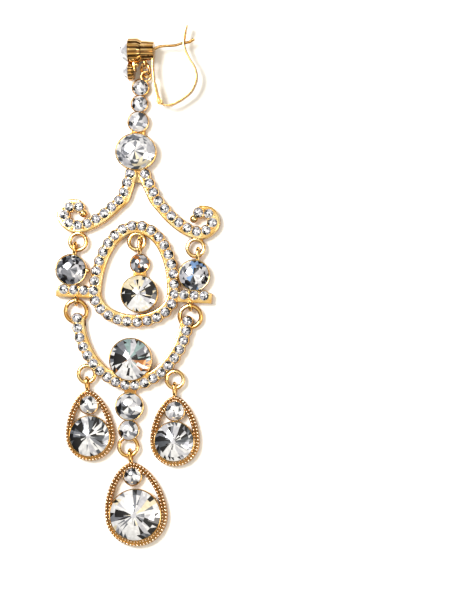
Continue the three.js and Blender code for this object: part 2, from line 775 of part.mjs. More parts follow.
// Head: the middle of its eyelet is its origin, and everything lies round one middle height
const headLarge = setting(HEAD_LARGE_ACROSS, {
  floor: HEAD_LARGE_DEPTH - (HEAD_LARGE_ACROSS - 2 * CUP_WALL) * PAVILION_SHARE,
  crownShare: HEAD_CROWN_SHARE,
});
const headSmall = setting(HEAD_SMALL_ACROSS, { crownShare: HEAD_CROWN_SHARE, floor: 0.25 });
const headZ = HEAD_LARGE_ACROSS / 2;
const smallRise = HEAD_RISE - headLarge.radius - headSmall.radius + CUP_OVERLAP;

// Lays a cup that was made facing up so that it faces -X, with its rim at the given place.
function facing(sizes, rimX, y) {
  return fitted(sizes, (geometry) => (
    geometry.translate(0, 0, -sizes.height).rotateY(-Math.PI / 2).translate(rimX, y, headZ)));
}

function claspPoints(path) {
  return path.map(({ out, up }) => new THREE.Vector2(
    PIVOT_OUT + out * CLASP_REACH,
    up * CLASP_HEIGHT - PIVOT_DROP,
  ));
}

function claspStrip(points, width) {
  return ribbon(points, -CLASP_STRIP / 2, CLASP_STRIP / 2, headZ - width / 2, headZ + width / 2);
}

function smoothLine(path, steps) {
  return pointsOn(curveThrough(claspPoints(path)), steps);
}

function hingeDisc(across, width, z) {
  const radius = across / 2;
  const disc = turned([[0, 0], [radius, 0], [radius, width], [0, width]], SIDES_SMALL);
  return solidOf(disc.translate(PIVOT_OUT, -PIVOT_DROP, z));
}

function cheek(low) {
  const foot = claspPoints([PLATE_PATH[2], PLATE_PATH[3]]);
  const pivot = new THREE.Vector2(PIVOT_OUT, -PIVOT_DROP);
  return unite([
    ribbon([...foot, pivot], -CHEEK, CHEEK, low, low + CHEEK),
    hingeDisc(BARREL_ACROSS, CHEEK, low),
  ]);
}

function earWire() {
  const points = claspPoints(EAR_WIRE_PATH).map(({ x, y }) => new THREE.Vector3(x, y, headZ));
  const section = new THREE.Shape();
  for (let i = 0; i < WIRE_SIDES; i += 1) {
    const angle = (i / WIRE_SIDES) * 2 * Math.PI;
    const corner = [Math.cos(angle) * EAR_WIRE / 2, Math.sin(angle) * EAR_WIRE / 2];
    if (i === 0) section.moveTo(...corner);
    else section.lineTo(...corner);
  }
  const steps = 16;
  return solidOf(new THREE.ExtrudeGeometry(section, {
    steps,
    bevelEnabled: false,
    extrudePath: new THREE.CatmullRomCurve3(points),
  }));
}

function headMeshes() {
  const large = facing(headLarge, -HEAD_FRONT, HEAD_RISE);
  const small = facing(headSmall, -HEAD_FRONT, smallRise);
  const backX = -HEAD_FRONT + headSmall.height;
  const backing = block(HEAD_BACKING, HEAD_RISE - smallRise, HEAD_BACKING_WIDTH);
  const front = smoothLine(PLATE_PATH, 8);
  const bossLength = front[0].x + HEAD_FRONT - headLarge.height + CUP_OVERLAP;
  const bossRadius = BOSS_ACROSS / 2;
  const boss = turned([[0, 0], [bossRadius, 0], [bossRadius, bossLength], [0, bossLength]], SIDES_SMALL);
  const cheekLow = headZ - CLASP_WIDTH / 2;
  const metal = [
    solidOf(backing.translate(
      backX + HEAD_BACKING / 2 - CUP_OVERLAP,
      (HEAD_RISE + smallRise) / 2,
      headZ - HEAD_BACKING_WIDTH / 2,
    )),
    solidOf(boss.rotateY(Math.PI / 2).translate(front[0].x - bossLength, HEAD_RISE, headZ)),
    solidOf(eyelet().rotateY(Math.PI / 2).translate(0, 0, headRingHigh)),
    claspStrip(front, PLATE_WIDTH),
    cheek(cheekLow),
    cheek(headZ + CLASP_WIDTH / 2 - CHEEK),
    hingeDisc(PIN_ACROSS, CLASP_WIDTH, cheekLow),
    earWire(),
  ];
  return [
    meshOf('head_setting', mounted(metal, [large, small]), gold),
    meshOf('head_stone_large', large.stone, crystal),
    meshOf('head_stone_small', small.stone, crystal),
    meshOf('clasp_lever', lever(), gold),
  ];
}

function lever() {
  const barrelWidth = CLASP_WIDTH - 2 * CHEEK - 2 * HINGE_CLEARANCE;
  const barrelLow = headZ - barrelWidth / 2;
  const pivot = new THREE.Vector2(PIVOT_OUT, -PIVOT_DROP);
  const tongue = [pivot, ...claspPoints(LEVER_PATH.slice(0, 2))];
  const slotLength = (SLOT_HIGH - SLOT_LOW) * CLASP_HEIGHT;
  const slot = block(4 * CLASP_STRIP, slotLength, EAR_WIRE + 2 * SLOT_CLEARANCE);
  const slotMiddle = claspPoints([{ out: SLOT_OUT, up: (SLOT_LOW + SLOT_HIGH) / 2 }])[0];
  return unite([
    hingeDisc(BARREL_ACROSS, barrelWidth, barrelLow),
    claspStrip(tongue, barrelWidth),
    claspStrip(smoothLine(LEVER_PATH, 26), CLASP_WIDTH),
  ])
    .subtract(hingeDisc(PIN_ACROSS + 2 * HINGE_CLEARANCE, ABOVE, headZ - ABOVE / 2))
    .subtract(solidOf(slot.translate(slotMiddle.x, slotMiddle.y, headZ - EAR_WIRE / 2 - SLOT_CLEARANCE)));
}

// The jump ring between head and stem, and the head's height and place above it
const headRingRadius = (HEAD_RING_ACROSS - HEAD_RING_WIRE) / 2;
const headRingHigh = RING_Z + HEAD_RING_DROP;
const headRingRise = Math.sqrt((2 * headRingRadius) ** 2 - HEAD_RING_DROP ** 2);
const stemEyeletWorld = worldPoint(armsPlace, stemEyelet.x, stemEyelet.y);
const headPlace = placeBy(0, { x: 0, y: 0 }, { x: stemEyeletWorld.x, y: stemEyeletWorld.y + headRingRise });

function headRingMesh() {
  const mesh = meshOf('head_ring', solidOf(link(HEAD_RING_ACROSS, HEAD_RING_WIRE)), gold);
  const up = new THREE.Vector3(0, headRingRise, HEAD_RING_DROP).normalize();
  const turn = HEAD_RING_TURN * DEGREE;
  const across = new THREE.Vector3(1, 0, 0).multiplyScalar(Math.cos(turn));
  across.addScaledVector(new THREE.Vector3(1, 0, 0).cross(up), Math.sin(turn));
  const matrix = new THREE.Matrix4().makeBasis(across, up, across.clone().cross(up));
  mesh.setRotationFromMatrix(matrix);
  mesh.position.set(stemEyeletWorld.x, stemEyeletWorld.y + headRingRise / 2, RING_Z + HEAD_RING_DROP / 2);
  return mesh;
}

// The whole earring, moved so that the middle of its footprint is the origin
const earring = new THREE.Group();
earring.name = 'chandelier_earring';
earring.add(
  groupAt(headPlace, headMeshes()),
  headRingMesh(),
  groupAt(armsPlace, armsMeshes()),
  groupAt(eggPlace, [...eggMeshes(), ...barRingMeshes()]),
  groupAt(pendantPlace, pendantMeshes()),
  groupAt(uPlace, uMeshes()),
  groupAt(dropPlace('left', uLeftRing, U_SIDE_RING_ACROSS), dropMeshes('left')),
  groupAt(dropPlace('right', uRightRing, U_SIDE_RING_ACROSS), dropMeshes('right')),
  groupAt(dropPlace('bottom', { x: 0, y: uEndRingY }, U_END_RING_ACROSS), dropMeshes('bottom')),
);

const box = new THREE.Box3().setFromObject(earring, true);
const centre = box.getCenter(new THREE.Vector3());
earring.position.set(-centre.x, -centre.y, -box.min.z);

export default earring;
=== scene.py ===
# %% [markdown]
# A chandelier earring, from imported solids to a picture
# The imported model says how large each piece of the earring is and where it lies. This lesson
# dresses it: rows of small stones, cut crystals, beaded borders and polished gold.
# First the frame is loaded. The boxes of its parts say where each look is laid.

# %% Load the frame
import json
import math
import random

import bpy
import numpy as np
from mathutils import Matrix, Vector

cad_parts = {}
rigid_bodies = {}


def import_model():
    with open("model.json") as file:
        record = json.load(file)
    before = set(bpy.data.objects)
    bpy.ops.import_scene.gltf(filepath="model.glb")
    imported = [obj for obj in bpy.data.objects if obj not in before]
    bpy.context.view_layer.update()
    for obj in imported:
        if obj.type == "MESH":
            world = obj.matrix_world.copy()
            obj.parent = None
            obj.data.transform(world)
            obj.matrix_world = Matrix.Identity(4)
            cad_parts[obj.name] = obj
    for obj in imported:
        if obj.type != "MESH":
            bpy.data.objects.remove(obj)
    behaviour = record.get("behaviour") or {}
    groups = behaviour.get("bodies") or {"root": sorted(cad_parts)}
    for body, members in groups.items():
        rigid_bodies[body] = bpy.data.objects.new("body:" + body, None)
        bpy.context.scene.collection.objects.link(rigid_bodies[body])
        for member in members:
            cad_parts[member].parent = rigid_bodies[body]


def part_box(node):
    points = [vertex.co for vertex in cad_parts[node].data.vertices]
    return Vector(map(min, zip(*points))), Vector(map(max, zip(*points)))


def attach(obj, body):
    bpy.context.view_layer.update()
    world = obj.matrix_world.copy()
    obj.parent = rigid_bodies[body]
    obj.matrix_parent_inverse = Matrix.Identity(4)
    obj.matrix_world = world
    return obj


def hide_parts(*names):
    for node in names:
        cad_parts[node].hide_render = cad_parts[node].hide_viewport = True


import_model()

scene = bpy.context.scene
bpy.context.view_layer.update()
MM = 0.001

# %% [markdown]
# Camera
# A product photographer looks almost straight down on a lying earring, from well above it, so
# that near and far pieces keep one scale. Here the eye is a little to the right of and below the
# earring, because the photograph shows the right-hand walls of the cups.
# The camera could be turned by hand. Its axes are worked out instead, so that the earring's
# length stays upright in the frame.

# %% Place the camera
PIXELS_PER_MM = 5.0
PICTURE_HEIGHT = 612
DISTANCE = 450
aim = Vector((18.6, -4.3, 1.2)) * MM
lean_right, lean_down = math.radians(7), math.radians(3)
back = Vector((math.sin(lean_right), -math.sin(lean_down), 1)).normalized()
across = Vector((0, 1, 0)).cross(back).normalized()
camera = bpy.data.objects.new("camera", bpy.data.cameras.new("camera"))
scene.collection.objects.link(camera)
scene.camera = camera
camera.data.sensor_width = 36
camera.data.lens = 36 * DISTANCE / (PICTURE_HEIGHT / PIXELS_PER_MM)
camera.data.clip_start = 0.01
axes = Matrix((across, back.cross(across), back)).transposed()
camera.matrix_world = Matrix.Translation(aim + back * DISTANCE * MM) @ axes.to_4x4()
print("lens", round(camera.data.lens, 1), "mm")

# %% [markdown]
# Light and floor
# Polished metal shows what surrounds it. A plain white room would leave it flat, so the room is
# bright above and dimmer low down, with one large soft lamp on the upper left that throws the
# short shadows to the right. A round lamp or the sun could do this too, but a square softbox
# gives the broad white streaks that jewellery photographs have.

# %% Set the lamps and the room
def softbox(name, place, size, power, colour):
    lamp = bpy.data.objects.new(name, bpy.data.lights.new(name, "AREA"))
    scene.collection.objects.link(lamp)
    lamp.data.size, lamp.data.energy, lamp.data.color = size, power, colour
    lamp.location = place
    lamp.rotation_euler = (Vector((0, 0, 0)) - Vector(place)).to_track_quat("-Z", "Y").to_euler()


softbox("key_lamp", (-0.17, 0.13, 0.37), 0.17, 2.4, (1.0, 1.0, 1.0))
softbox("fill_lamp", (0.3, -0.1, 0.3), 0.2, 0.6, (1.0, 0.95, 0.88))
scene.view_settings.view_transform = "Standard"
world = bpy.data.worlds.new("room")
scene.world = world
world.use_nodes = True
ROOM_STOPS = {0.0: 0.9, 0.5: 0.55, 0.6: 0.05, 0.76: 0.12, 0.86: 0.65, 0.95: 0.98}
print(len(ROOM_STOPS), "bands of brightness in the room")

# %% [markdown]
# Writing node trees as sums
# Shader and geometry trees are easier to read as arithmetic than as lists of links. One small
# class holds a socket, and adding or multiplying it adds a Math node. A bench holds the tree and
# has one method for every other node. Node groups or hand-placed nodes would do the same work
# with many more lines.

# %% A bench for node trees
class Wire:
    """An output socket; arithmetic on it adds Math nodes to its bench."""

    def __init__(self, bench, socket):
        self.bench, self.socket = bench, socket

    def maths(self, operation, first, second):
        return self.bench.node("ShaderNodeMath", {"operation": operation}, {0: first, 1: second})[0]

    def __add__(self, other):
        return self.maths("ADD", self, other)

    def __mul__(self, other):
        return self.maths("MULTIPLY", self, other)

    def __rsub__(self, other):
        return self.maths("SUBTRACT", other, self)

    __radd__, __rmul__ = __add__, __mul__


class Step:
    """A node whose outputs are read by name or number."""

    def __init__(self, bench, node):
        self.bench, self.node = bench, node

    def __getitem__(self, output):
        return Wire(self.bench, self.node.outputs[output])


class Bench:
    """A node tree being built."""

    def __init__(self, tree):
        self.tree = tree

    def node(self, kind, settings=None, inputs=None):
        made = self.tree.nodes.new(kind)
        for key, value in (settings or {}).items():
            setattr(made, key, value)
        for key, value in (inputs or {}).items():
            for item in value if isinstance(value, list) else [value]:
                if isinstance(item, Wire):
                    self.tree.links.new(item.socket, made.inputs[key])
                else:
                    made.inputs[key].default_value = item
        return Step(self, made)

    def ramp(self, factor, stops):
        made = self.node("ShaderNodeValToRGB", None, {0: factor})
        elements = made.node.color_ramp.elements
        elements.remove(elements[1])
        places = sorted(stops)
        elements[0].position = places[0]
        elements[0].color = (*[stops[places[0]]] * 3, 1)
        for place in places[1:]:
            elements.new(place).color = (*[stops[place]] * 3, 1)
        return made[0]


room = Bench(world.node_tree)
world.node_tree.nodes.clear()
direction = room.node("ShaderNodeSeparateXYZ", None, {0: room.node("ShaderNodeTexCoord")["Generated"]})
brightness = room.ramp(direction[2] * 0.5 + 0.5, ROOM_STOPS)
warmth = room.node("ShaderNodeMix", {"data_type": "RGBA", "blend_type": "MULTIPLY"},
                   {0: 1.0, 6: brightness, 7: (1.0, 0.95, 0.81, 1)})
room.node("ShaderNodeOutputWorld", None, {
    0: room.node("ShaderNodeBackground", None, {0: warmth[2], 1: 1.0})[0]})
print("room nodes:", len(world.node_tree.nodes))

# %% [markdown]
# The finishes
# The metal is a cast alloy with a thin coat of bright gold. It is smooth but never flat: the
# polish leaves soft waves. Two golds are mixed by a noise a few millimetres across, and a finer
# noise bends the surface a little. Painted shade and painted highlight are mixed into the colour:
# it is painted dark brown low down and pale gold higher up, and an attribute paints brown shade
# into recesses and pale highlights on chosen parts.
# The crystals are glass with a mirror foil behind them. Real refraction would need hundreds of
# samples to lose its noise, so each facet carries its own painted reflection, a shade as the foil
# would reflect the room, under a hard glossy surface, and a noise paints finer reflected streaks.

# %% Make gold, crystal and the table
def recipe(name):
    material = bpy.data.materials.new(name)
    material.use_nodes = True
    material.node_tree.nodes.clear()
    return material, Bench(material.node_tree)


def noise(bench, scale, detail=2.0):
    place = bench.node("ShaderNodeTexCoord")["Object"]
    return bench.node("ShaderNodeTexNoise", None, {"Vector": place, "Scale": scale, "Detail": detail})[0]


def blended(bench, share, low, high):
    mix = bench.node("ShaderNodeMix", {"data_type": "RGBA"}, {0: share, 6: low, 7: high})
    return mix[2]


def gold_finish():
    material, bench = recipe("polished_gold")
    waves = bench.ramp(noise(bench, 420), {0.36: 0.0, 0.64: 1.0})
    grain = noise(bench, 2600, 3.0)
    place = bench.node("ShaderNodeSeparateXYZ", None, {0: bench.node("ShaderNodeTexCoord")["Object"]})
    # Painted shade and highlight by height: dark brown low down, pale gold higher up.
    height = bench.ramp(place[2] * 400, {0.22: 0.0, 0.5: 0.15, 0.62: 0.6, 0.7: 0.9, 0.8: 1.0, 0.94: 0.5})
    deep = blended(bench, waves, (0.36, 0.14, 0.025, 1), (0.66, 0.33, 0.08, 1))
    pale = blended(bench, waves, (1.0, 0.80, 0.42, 1), (0.84, 0.50, 0.15, 1))
    # The attribute read here paints brown shade where its red is high and pale highlights where its green
    # is.
    marks = bench.node("ShaderNodeSeparateColor", None, {
        0: bench.node("ShaderNodeAttribute", {"attribute_name": "painted_light"})["Color"]})
    colour = blended(bench, marks[1], blended(bench, height, deep, pale), (1.0, 0.84, 0.68, 1))
    colour = blended(bench, marks[0], colour, (0.16, 0.06, 0.012, 1))
    bump = bench.node("ShaderNodeBump", None, {
        "Strength": 0.6, "Distance": 0.00012, "Height": noise(bench, 700) + grain * 0.15})
    shader = bench.node("ShaderNodeBsdfPrincipled", None, {
        "Base Color": colour, "Metallic": 1.0, "Roughness": grain * 0.1 + 0.1, "Normal": bump[0]})
    bench.node("ShaderNodeOutputMaterial", None, {0: shader[0]})
    return material


def crystal_finish():
    material, bench = recipe("foiled_crystal")
    # Each facet's painted reflection comes from the attribute, and a noise paints finer reflected streaks
    # over it.
    facet = bench.node("ShaderNodeAttribute", {"attribute_name": "painted_light"})["Color"]
    streaks = bench.ramp(noise(bench, 1500, 1.0), {0.35: 0.78, 0.65: 1.0})
    colour = bench.node("ShaderNodeMix", {"data_type": "RGBA", "blend_type": "MULTIPLY"},
                        {0: 1.0, 6: facet, 7: streaks})
    shader = bench.node("ShaderNodeBsdfPrincipled", None, {
        "Base Color": colour[2], "Metallic": 0.45, "Roughness": 0.07,
        "Coat Weight": 0.6, "Coat Roughness": 0.02})
    bench.node("ShaderNodeOutputMaterial", None, {0: shader[0]})
    return material


def table_finish():
    material, bench = recipe("white_table")
    colour = blended(bench, noise(bench, 9), (0.93, 0.915, 0.89, 1), (0.95, 0.94, 0.92, 1))
    shader = bench.node("ShaderNodeBsdfPrincipled", None, {"Base Color": colour, "Roughness": 0.7})
    bench.node("ShaderNodeOutputMaterial", None, {0: shader[0]})
    return material


GOLD, CRYSTAL = gold_finish(), crystal_finish()
floor_mesh = bpy.data.meshes.new("table_top")
floor_mesh.from_pydata([(-3, -3, 0), (3, -3, 0), (3, 3, 0), (-3, 3, 0)], [], [(0, 1, 2, 3)])
floor_mesh.materials.append(table_finish())
floor = bpy.data.objects.new("table_top", floor_mesh)
scene.collection.objects.link(floor)
print("finishes:", [m.name for m in (GOLD, CRYSTAL)])

# %% [markdown]
# Shells
# Every piece is made of closed shells in millimetres, in a flat place of its own, and then laid
# where the model says. Two helpers make most of them: a lathe for cups, beads and stones, and a
# sweep that pushes a section along a line. Curves with bevels could do the sweep, but this gives
# closed ends and exact heights.

# %% Lathe, sweep and solder
def shell(name, points, faces, smooth=True, finish=0):
    mesh = bpy.data.meshes.new(name)
    mesh.from_pydata([tuple(map(float, p)) for p in points], [], faces)
    volume = 0.0
    for face in mesh.polygons:
        corners = [mesh.vertices[i].co for i in face.vertices]
        for second, third in zip(corners[1:], corners[2:]):
            volume += corners[0].dot(second.cross(third))
    if volume < 0:
        mesh.flip_normals()
    mesh.materials.append(GOLD)
    mesh.materials.append(CRYSTAL)
    for face in mesh.polygons:
        face.use_smooth = smooth
        face.material_index = finish
    return mesh


def turned(profile, around=40, stretch=1.0, name="turned", smooth=True, finish=0):
    """A shape turned on the Z axis, from pairs of radius and height that start and end on it."""
    points, rings = [], []
    for radius, height in profile:
        count = around if radius > 0 else 1
        rings.append([len(points) + i for i in range(count)])
        for i in range(count):
            angle = (i + 0.5) / around * 2 * math.pi
            points.append((radius * math.cos(angle) * stretch, radius * math.sin(angle), height))
    faces = []
    for low, high in zip(rings, rings[1:]):
        for i in range(around):
            j = (i + 1) % around
            corners = [low[i % len(low)], low[j % len(low)], high[j % len(high)], high[i % len(high)]]
            faces.append(tuple(dict.fromkeys(corners)))
    return shell(name, points, [f for f in faces if len(f) > 2], smooth, finish)


def swept(line, section, closed=False, name="swept"):
    """A section of pairs, beside and above, pushed along a level line of points."""
    line = np.array([(*p, 0.0)[:3] for p in line], float)
    count, size = len(line), len(section)
    points = []
    for i, here in enumerate(line):
        before = line[i - 1] if closed or i > 0 else here
        after = line[(i + 1) % count] if closed or i < count - 1 else here
        along = (after - before) / np.linalg.norm(after - before)
        left = np.array([-along[1], along[0], 0.0])
        points += [here + left * beside + np.array([0, 0, above]) for beside, above in section]
    faces = []
    for i in range(count if closed else count - 1):
        k = (i + 1) % count
        for j in range(size):
            m = (j + 1) % size
            faces.append((i * size + j, i * size + m, k * size + m, k * size + j))
    if not closed:
        faces.append(tuple(reversed(range(size))))
        faces.append(tuple((count - 1) * size + j for j in range(size)))
    return shell(name, points, faces)


def rounded(left, right, low, high, radius, steps=3):
    """A rectangular section with rounded corners."""
    corners = [(right - radius, high - radius, 0), (left + radius, high - radius, 90),
               (left + radius, low + radius, 180), (right - radius, low + radius, 270)]
    pairs = []
    for x, y, start in corners:
        for i in range(steps + 1):
            angle = math.radians(start + 90 * i / steps)
            pairs.append((x + radius * math.cos(angle), y + radius * math.sin(angle)))
    return pairs


def moved(mesh, x=0.0, y=0.0, z=0.0, turn=None):
    matrix = Matrix.Translation((x, y, z))
    mesh.transform(matrix @ turn.to_4x4() if turn else matrix)
    return mesh


def plain_mesh(thing, name):
    """What an object looks like after its modifiers, as a mesh of its own."""
    bpy.context.view_layer.update()
    graph = bpy.context.evaluated_depsgraph_get()
    mesh = bpy.data.meshes.new_from_object(thing.evaluated_get(graph), depsgraph=graph)
    mesh.name = name
    return mesh


def holder(name, mesh):
    thing = bpy.data.objects.new(name, mesh)
    scene.collection.objects.link(thing)
    return thing


def solder(name, shells):
    """Fuses closed shells into one closed body."""
    first = holder(name, shells[0])
    others = bpy.data.collections.new(name)
    scene.collection.children.link(others)
    for i, mesh in enumerate(shells[1:]):
        others.objects.link(bpy.data.objects.new(f"{name}_{i}", mesh))
    union = first.modifiers.new("solder", "BOOLEAN")
    union.operation, union.operand_type, union.solver = "UNION", "COLLECTION", "MANIFOLD"
    union.collection = others
    fused = plain_mesh(first, name)
    for thing in list(others.objects) + [first]:
        bpy.data.objects.remove(thing)
    bpy.data.collections.remove(others)
    return fused


print("a test bead has", len(turned([(0, 0), (1, 1), (0, 2)], 8).polygons), "faces")

# %% [markdown]
# Where the pieces lie
# Each hanging piece is modelled upright, with the middle of one of its stones as its origin. The
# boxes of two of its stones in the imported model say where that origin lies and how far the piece
# is turned. Copying angles from the part's source would work too, but this follows the frame if
# it changes.

# %% Find each piece's place
def centre(node):
    low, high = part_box(node)
    return (low + high) / 2 / MM


def place(origin, angle):
    turn = Matrix.Rotation(angle, 4, "Z")
    return Matrix.Translation((origin[0] * MM, origin[1] * MM, 0)) @ turn @ Matrix.Scale(MM, 4)


def upright(lower, upper, origin):
    """The place of a piece whose stones `lower` and `upper` stand one above the other."""
    rise = centre(upper) - centre(lower)
    return place(centre(origin), math.atan2(-rise.x, rise.y))


def beside_each_other(left, right, shift):
    """The place of a piece with two stones on one level, from where their middle lies in it."""
    run = centre(right) - centre(left)
    angle = math.atan2(run.y, run.x)
    middle = (centre(left) + centre(right)) / 2
    back_turned = Matrix.Rotation(angle, 3, "Z") @ Vector((*shift, 0))
    return place(middle - back_turned, angle)


PAVE_PITCH, SEAT, BAND_HEIGHT, LEDGE = 2.03, 1.137, 1.75, 0.35
CUP_WALL, STONE_GAP, GIRDLE, FLOOR = 0.16, 0.05, 0.15, 0.4
SIDE_SHIFT, SIDE_HEIGHT = -0.5, 4.037
OVAL_STRETCH, OVERLAP, CURL_OUT = 8.4 / 7.6, 0.3, 0.793
PLACES = {
    "arms": upright("oval_stone", "stem_stone_1", "oval_stone"),
    "egg": beside_each_other("side_stone_left", "side_stone_right", (SIDE_SHIFT, SIDE_HEIGHT)),
    "pendant": upright("pendant_stone_large", "pendant_stone_small", "pendant_stone_large"),
    "u": upright("u_stone_small", "u_stone_large", "u_stone_large"),
}
for hand in ("left", "right", "bottom"):
    stone = f"teardrop_{hand}_stone"
    PLACES[hand] = upright(f"{stone}_large", f"{stone}_small", f"{stone}_large")
for name, matrix in PLACES.items():
    print(name, "turned", round(math.degrees(matrix.to_euler().z), 2), "degrees")


# %% [markdown]
# Laying a piece A finished mesh is moved to its place and told which body of the model carries
# it and which solid it stands in for.

# %% Lay a finished piece on its body
def lay(name, mesh, where, body, sharp=38):
    mesh.transform(where)
    mesh.set_sharp_from_angle(angle=math.radians(sharp))
    piece = holder(f"{name}_look", mesh)
    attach(piece, body)
    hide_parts(name)
    mesh.calc_loop_triangles()
    print(name, len(mesh.loop_triangles), "triangles")
    return piece


# %% [markdown]
# Cut stones
# A real crystal is ground flat facet by facet and foiled behind, so from above it breaks into
# wedges that are white, grey or black with no gradual change. Each stone here has its girdle,
# rings of crown facets, a table and a pointed pavilion. Each facet gets a painted reflection, a
# shade by its direction as the surroundings would give it, and a seeded hand deals the exceptions.
# Ray-traced refraction would be truer, but it changes with every small turn of the camera.

# %% Cut the stones
# The shades that the facets' painted reflections are drawn from.
SHADES = {
    "white": (0.92, 0.92, 0.95), "pale": (0.62, 0.62, 0.68), "lilac": (0.46, 0.44, 0.53),
    "grey": (0.22, 0.23, 0.27), "slate": (0.09, 0.1, 0.12), "dark": (0.012, 0.012, 0.015),
    "cream": (0.93, 0.82, 0.60), "teal": (0.3, 0.42, 0.43),
    "rust": (0.45, 0.16, 0.04), "sky": (0.25, 0.42, 0.75),
}


# Each facet's shade is its painted reflection.
def paint_facets(mesh, shades):
    colours = mesh.attributes.new("painted_light", "FLOAT_COLOR", "CORNER")
    for face, shade in zip(mesh.polygons, shades):
        for corner in face.loop_indices:
            colours.data[corner].color = (*SHADES[shade], 1)
    return mesh


def paint_shade_and_highlight(mesh, depth, painted_highlight=0.0):
    """Paints light on a metal shell: a dark brown painted shade as much as `depth` gives, and a pale
    painted highlight as much as its second amount.
    """
    colours = mesh.attributes.new("painted_light", "FLOAT_COLOR", "CORNER")
    for face in mesh.polygons:
        amount = float(depth(face.center))
        for corner in face.loop_indices:
            colours.data[corner].color = (amount, painted_highlight, 0, 1)
    return mesh


def finished_stone(name, points, faces, shades):
    return paint_facets(shell(name, points, faces, smooth=False, finish=1), shades)


def cut_stone(name, sizes, tones, seed, sides=16, rings=2, stretch=1.0, odd=0.22, pointed=False):
    """A cut stone facing up; `tones` are its painted reflection shades by direction, from +X round to the
    left.
    A pointed one has long wedges inside a band of small facets."""
    radius, culet, low, high, table, top = sizes
    points, faces, shades = [], [], []
    deal = random.Random(seed)

    def ring(count, r, z, half=0.0):
        first = len(points)
        for i in range(count):
            angle = (i + half) / count * 2 * math.pi
            points.append((r * math.cos(angle) * stretch, r * math.sin(angle), z))
        return [first + i for i in range(count)]

    def facet(corners, share=0.0):
        faces.append(corners)
        x = sum(points[i][0] for i in corners) / stretch
        y = sum(points[i][1] for i in corners)
        part = math.atan2(y, x) / (2 * math.pi) % 1 * len(tones)
        shade = tones[int(part) % len(tones)]
        if deal.random() < odd + share:
            shade = deal.choice(tones + ["white", "grey", "slate"])
        shades.append(shade)

    points.append((0, 0, culet))
    under, over = ring(2 * sides, radius, low), ring(2 * sides, radius, high)
    for i in range(2 * sides):
        j = (i + 1) % (2 * sides)
        facet((0, under[j], under[i]))
        facet((under[i], under[j], over[j], over[i]))
    if pointed:
        shoulder = ring(2 * sides, radius * 0.8, high + (top - high) * 0.3)
        waist = ring(2 * sides, radius * 0.42, high + (top - high) * 0.7, half=0.5)
        tip = ring(2 * sides, table, top)
        for i in range(2 * sides):
            j = (i + 1) % (2 * sides)
            facet((over[i], over[j], shoulder[i]), 0.3)
            facet((over[j], shoulder[j], shoulder[i]), 0.3)
            facet((shoulder[i], shoulder[j], waist[i]))
            facet((shoulder[j], waist[j], waist[i]))
            facet((waist[i], tip[j], tip[i]), 0.1)
            facet((waist[i], waist[j], tip[j]), 0.1)
        return finished_stone(name, points, faces + [tuple(tip)], shades + ["pale"])
    crown = []
    for k in range(1, rings + 1):
        share = (k / rings) ** 0.9
        r = radius + (table - radius) * share
        z = high + (top - high) * (share + 0.1 * math.sin(share * math.pi))
        crown.append(ring(sides, r, z, half=((k - 1) % 2) / 2))
    first = crown[0]
    for i in range(sides):
        j = (i + 1) % sides
        facet((first[i], over[2 * i - 1], over[2 * i]), 0.1)
        facet((first[i], over[2 * i], over[2 * i + 1]), 0.1)
        facet((first[i], over[2 * i + 1], first[j]), 0.1)
    for k, (lower, upper) in enumerate(zip(crown, crown[1:])):
        for i in range(sides):
            j = (i + 1) % sides
            if k % 2 == 0:
                facet((lower[i], lower[j], upper[i]))
                facet((lower[j], upper[j], upper[i]))
            else:
                facet((lower[i], lower[j], upper[j]))
                facet((lower[i], upper[j], upper[i]))
    points.append((0, 0, top))
    for i in range(sides):
        facet((crown[-1][i], crown[-1][(i + 1) % sides], len(points) - 1), 0.25)
    return finished_stone(name, points, faces, shades)


def cup_sizes(across, table_share=0.5, floor=FLOOR, crown_share=0.16):
    """What a cup of this outer diameter and its stone measure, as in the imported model."""
    stone = across / 2 - CUP_WALL - STONE_GAP
    low = floor + STONE_GAP + 2 * stone * 0.22
    high = low + GIRDLE
    return {
        "radius": across / 2, "floor": floor, "stone": stone, "low": low, "high": high,
        "rim": high + 0.06, "table": stone * table_share, "top": high + 2 * stone * crown_share,
    }


def stone_for(name, sizes, tones, seed, **cut):
    facts = (sizes["stone"], sizes["floor"] + STONE_GAP, sizes["low"], sizes["high"],
             sizes["table"], sizes["top"])
    return cut_stone(name, facts, tones, seed, **cut)


def lay_stone(piece, stone, sizes, tones, seed, where, x=0.0, y=0.0, **cut):
    mesh = moved(stone_for(stone, sizes, tones, seed, **cut), x, y)
    lay(piece, mesh, where, "earring")


PAVE_SIZES = (0.95, 1.1, 1.78, 1.84, 0.52, 2.22)


def pave_stone(seed):
    # The painted reflections of a small stone's facets, by direction.
    tones = "white pale slate dark white pale lilac grey".split()
    return cut_stone(f"pave_{seed}", PAVE_SIZES, tones, seed,
                     sides=8, rings=2, odd=0.4)


print("a pave stone has", len(pave_stone(1).polygons), "facets")

# %% [markdown]
# Cups
# The maker casts each cup as a tapered bowl and rubs its thin rim over the stone. The lathe
# profile runs up the outside, over a rounded rim and down into the seat, so the rim catches a
# bright line all the way round. An oval cup is the same bowl, stretched.

# %% Turn the cups
def cup(sizes, stretch=1.0, around=48):
    r, rim = sizes["radius"], sizes["rim"]
    foot, taper = r * 0.8, rim * 0.35
    seat, inner = sizes["low"] - STONE_GAP, r - CUP_WALL
    profile = [
        (0, 0), (foot - 0.08, 0), (foot, 0.08), (r - 0.04, taper - 0.08), (r, taper),
        (r, rim - 0.1), (r - 0.03, rim - 0.03), (r - 0.09, rim), (inner + 0.07, rim),
        (inner + 0.02, rim - 0.03), (inner, rim - 0.1), (inner, seat), (sizes["stone"], seat),
        (0, sizes["floor"]),
    ]
    return turned(profile, around, stretch, name="cup")


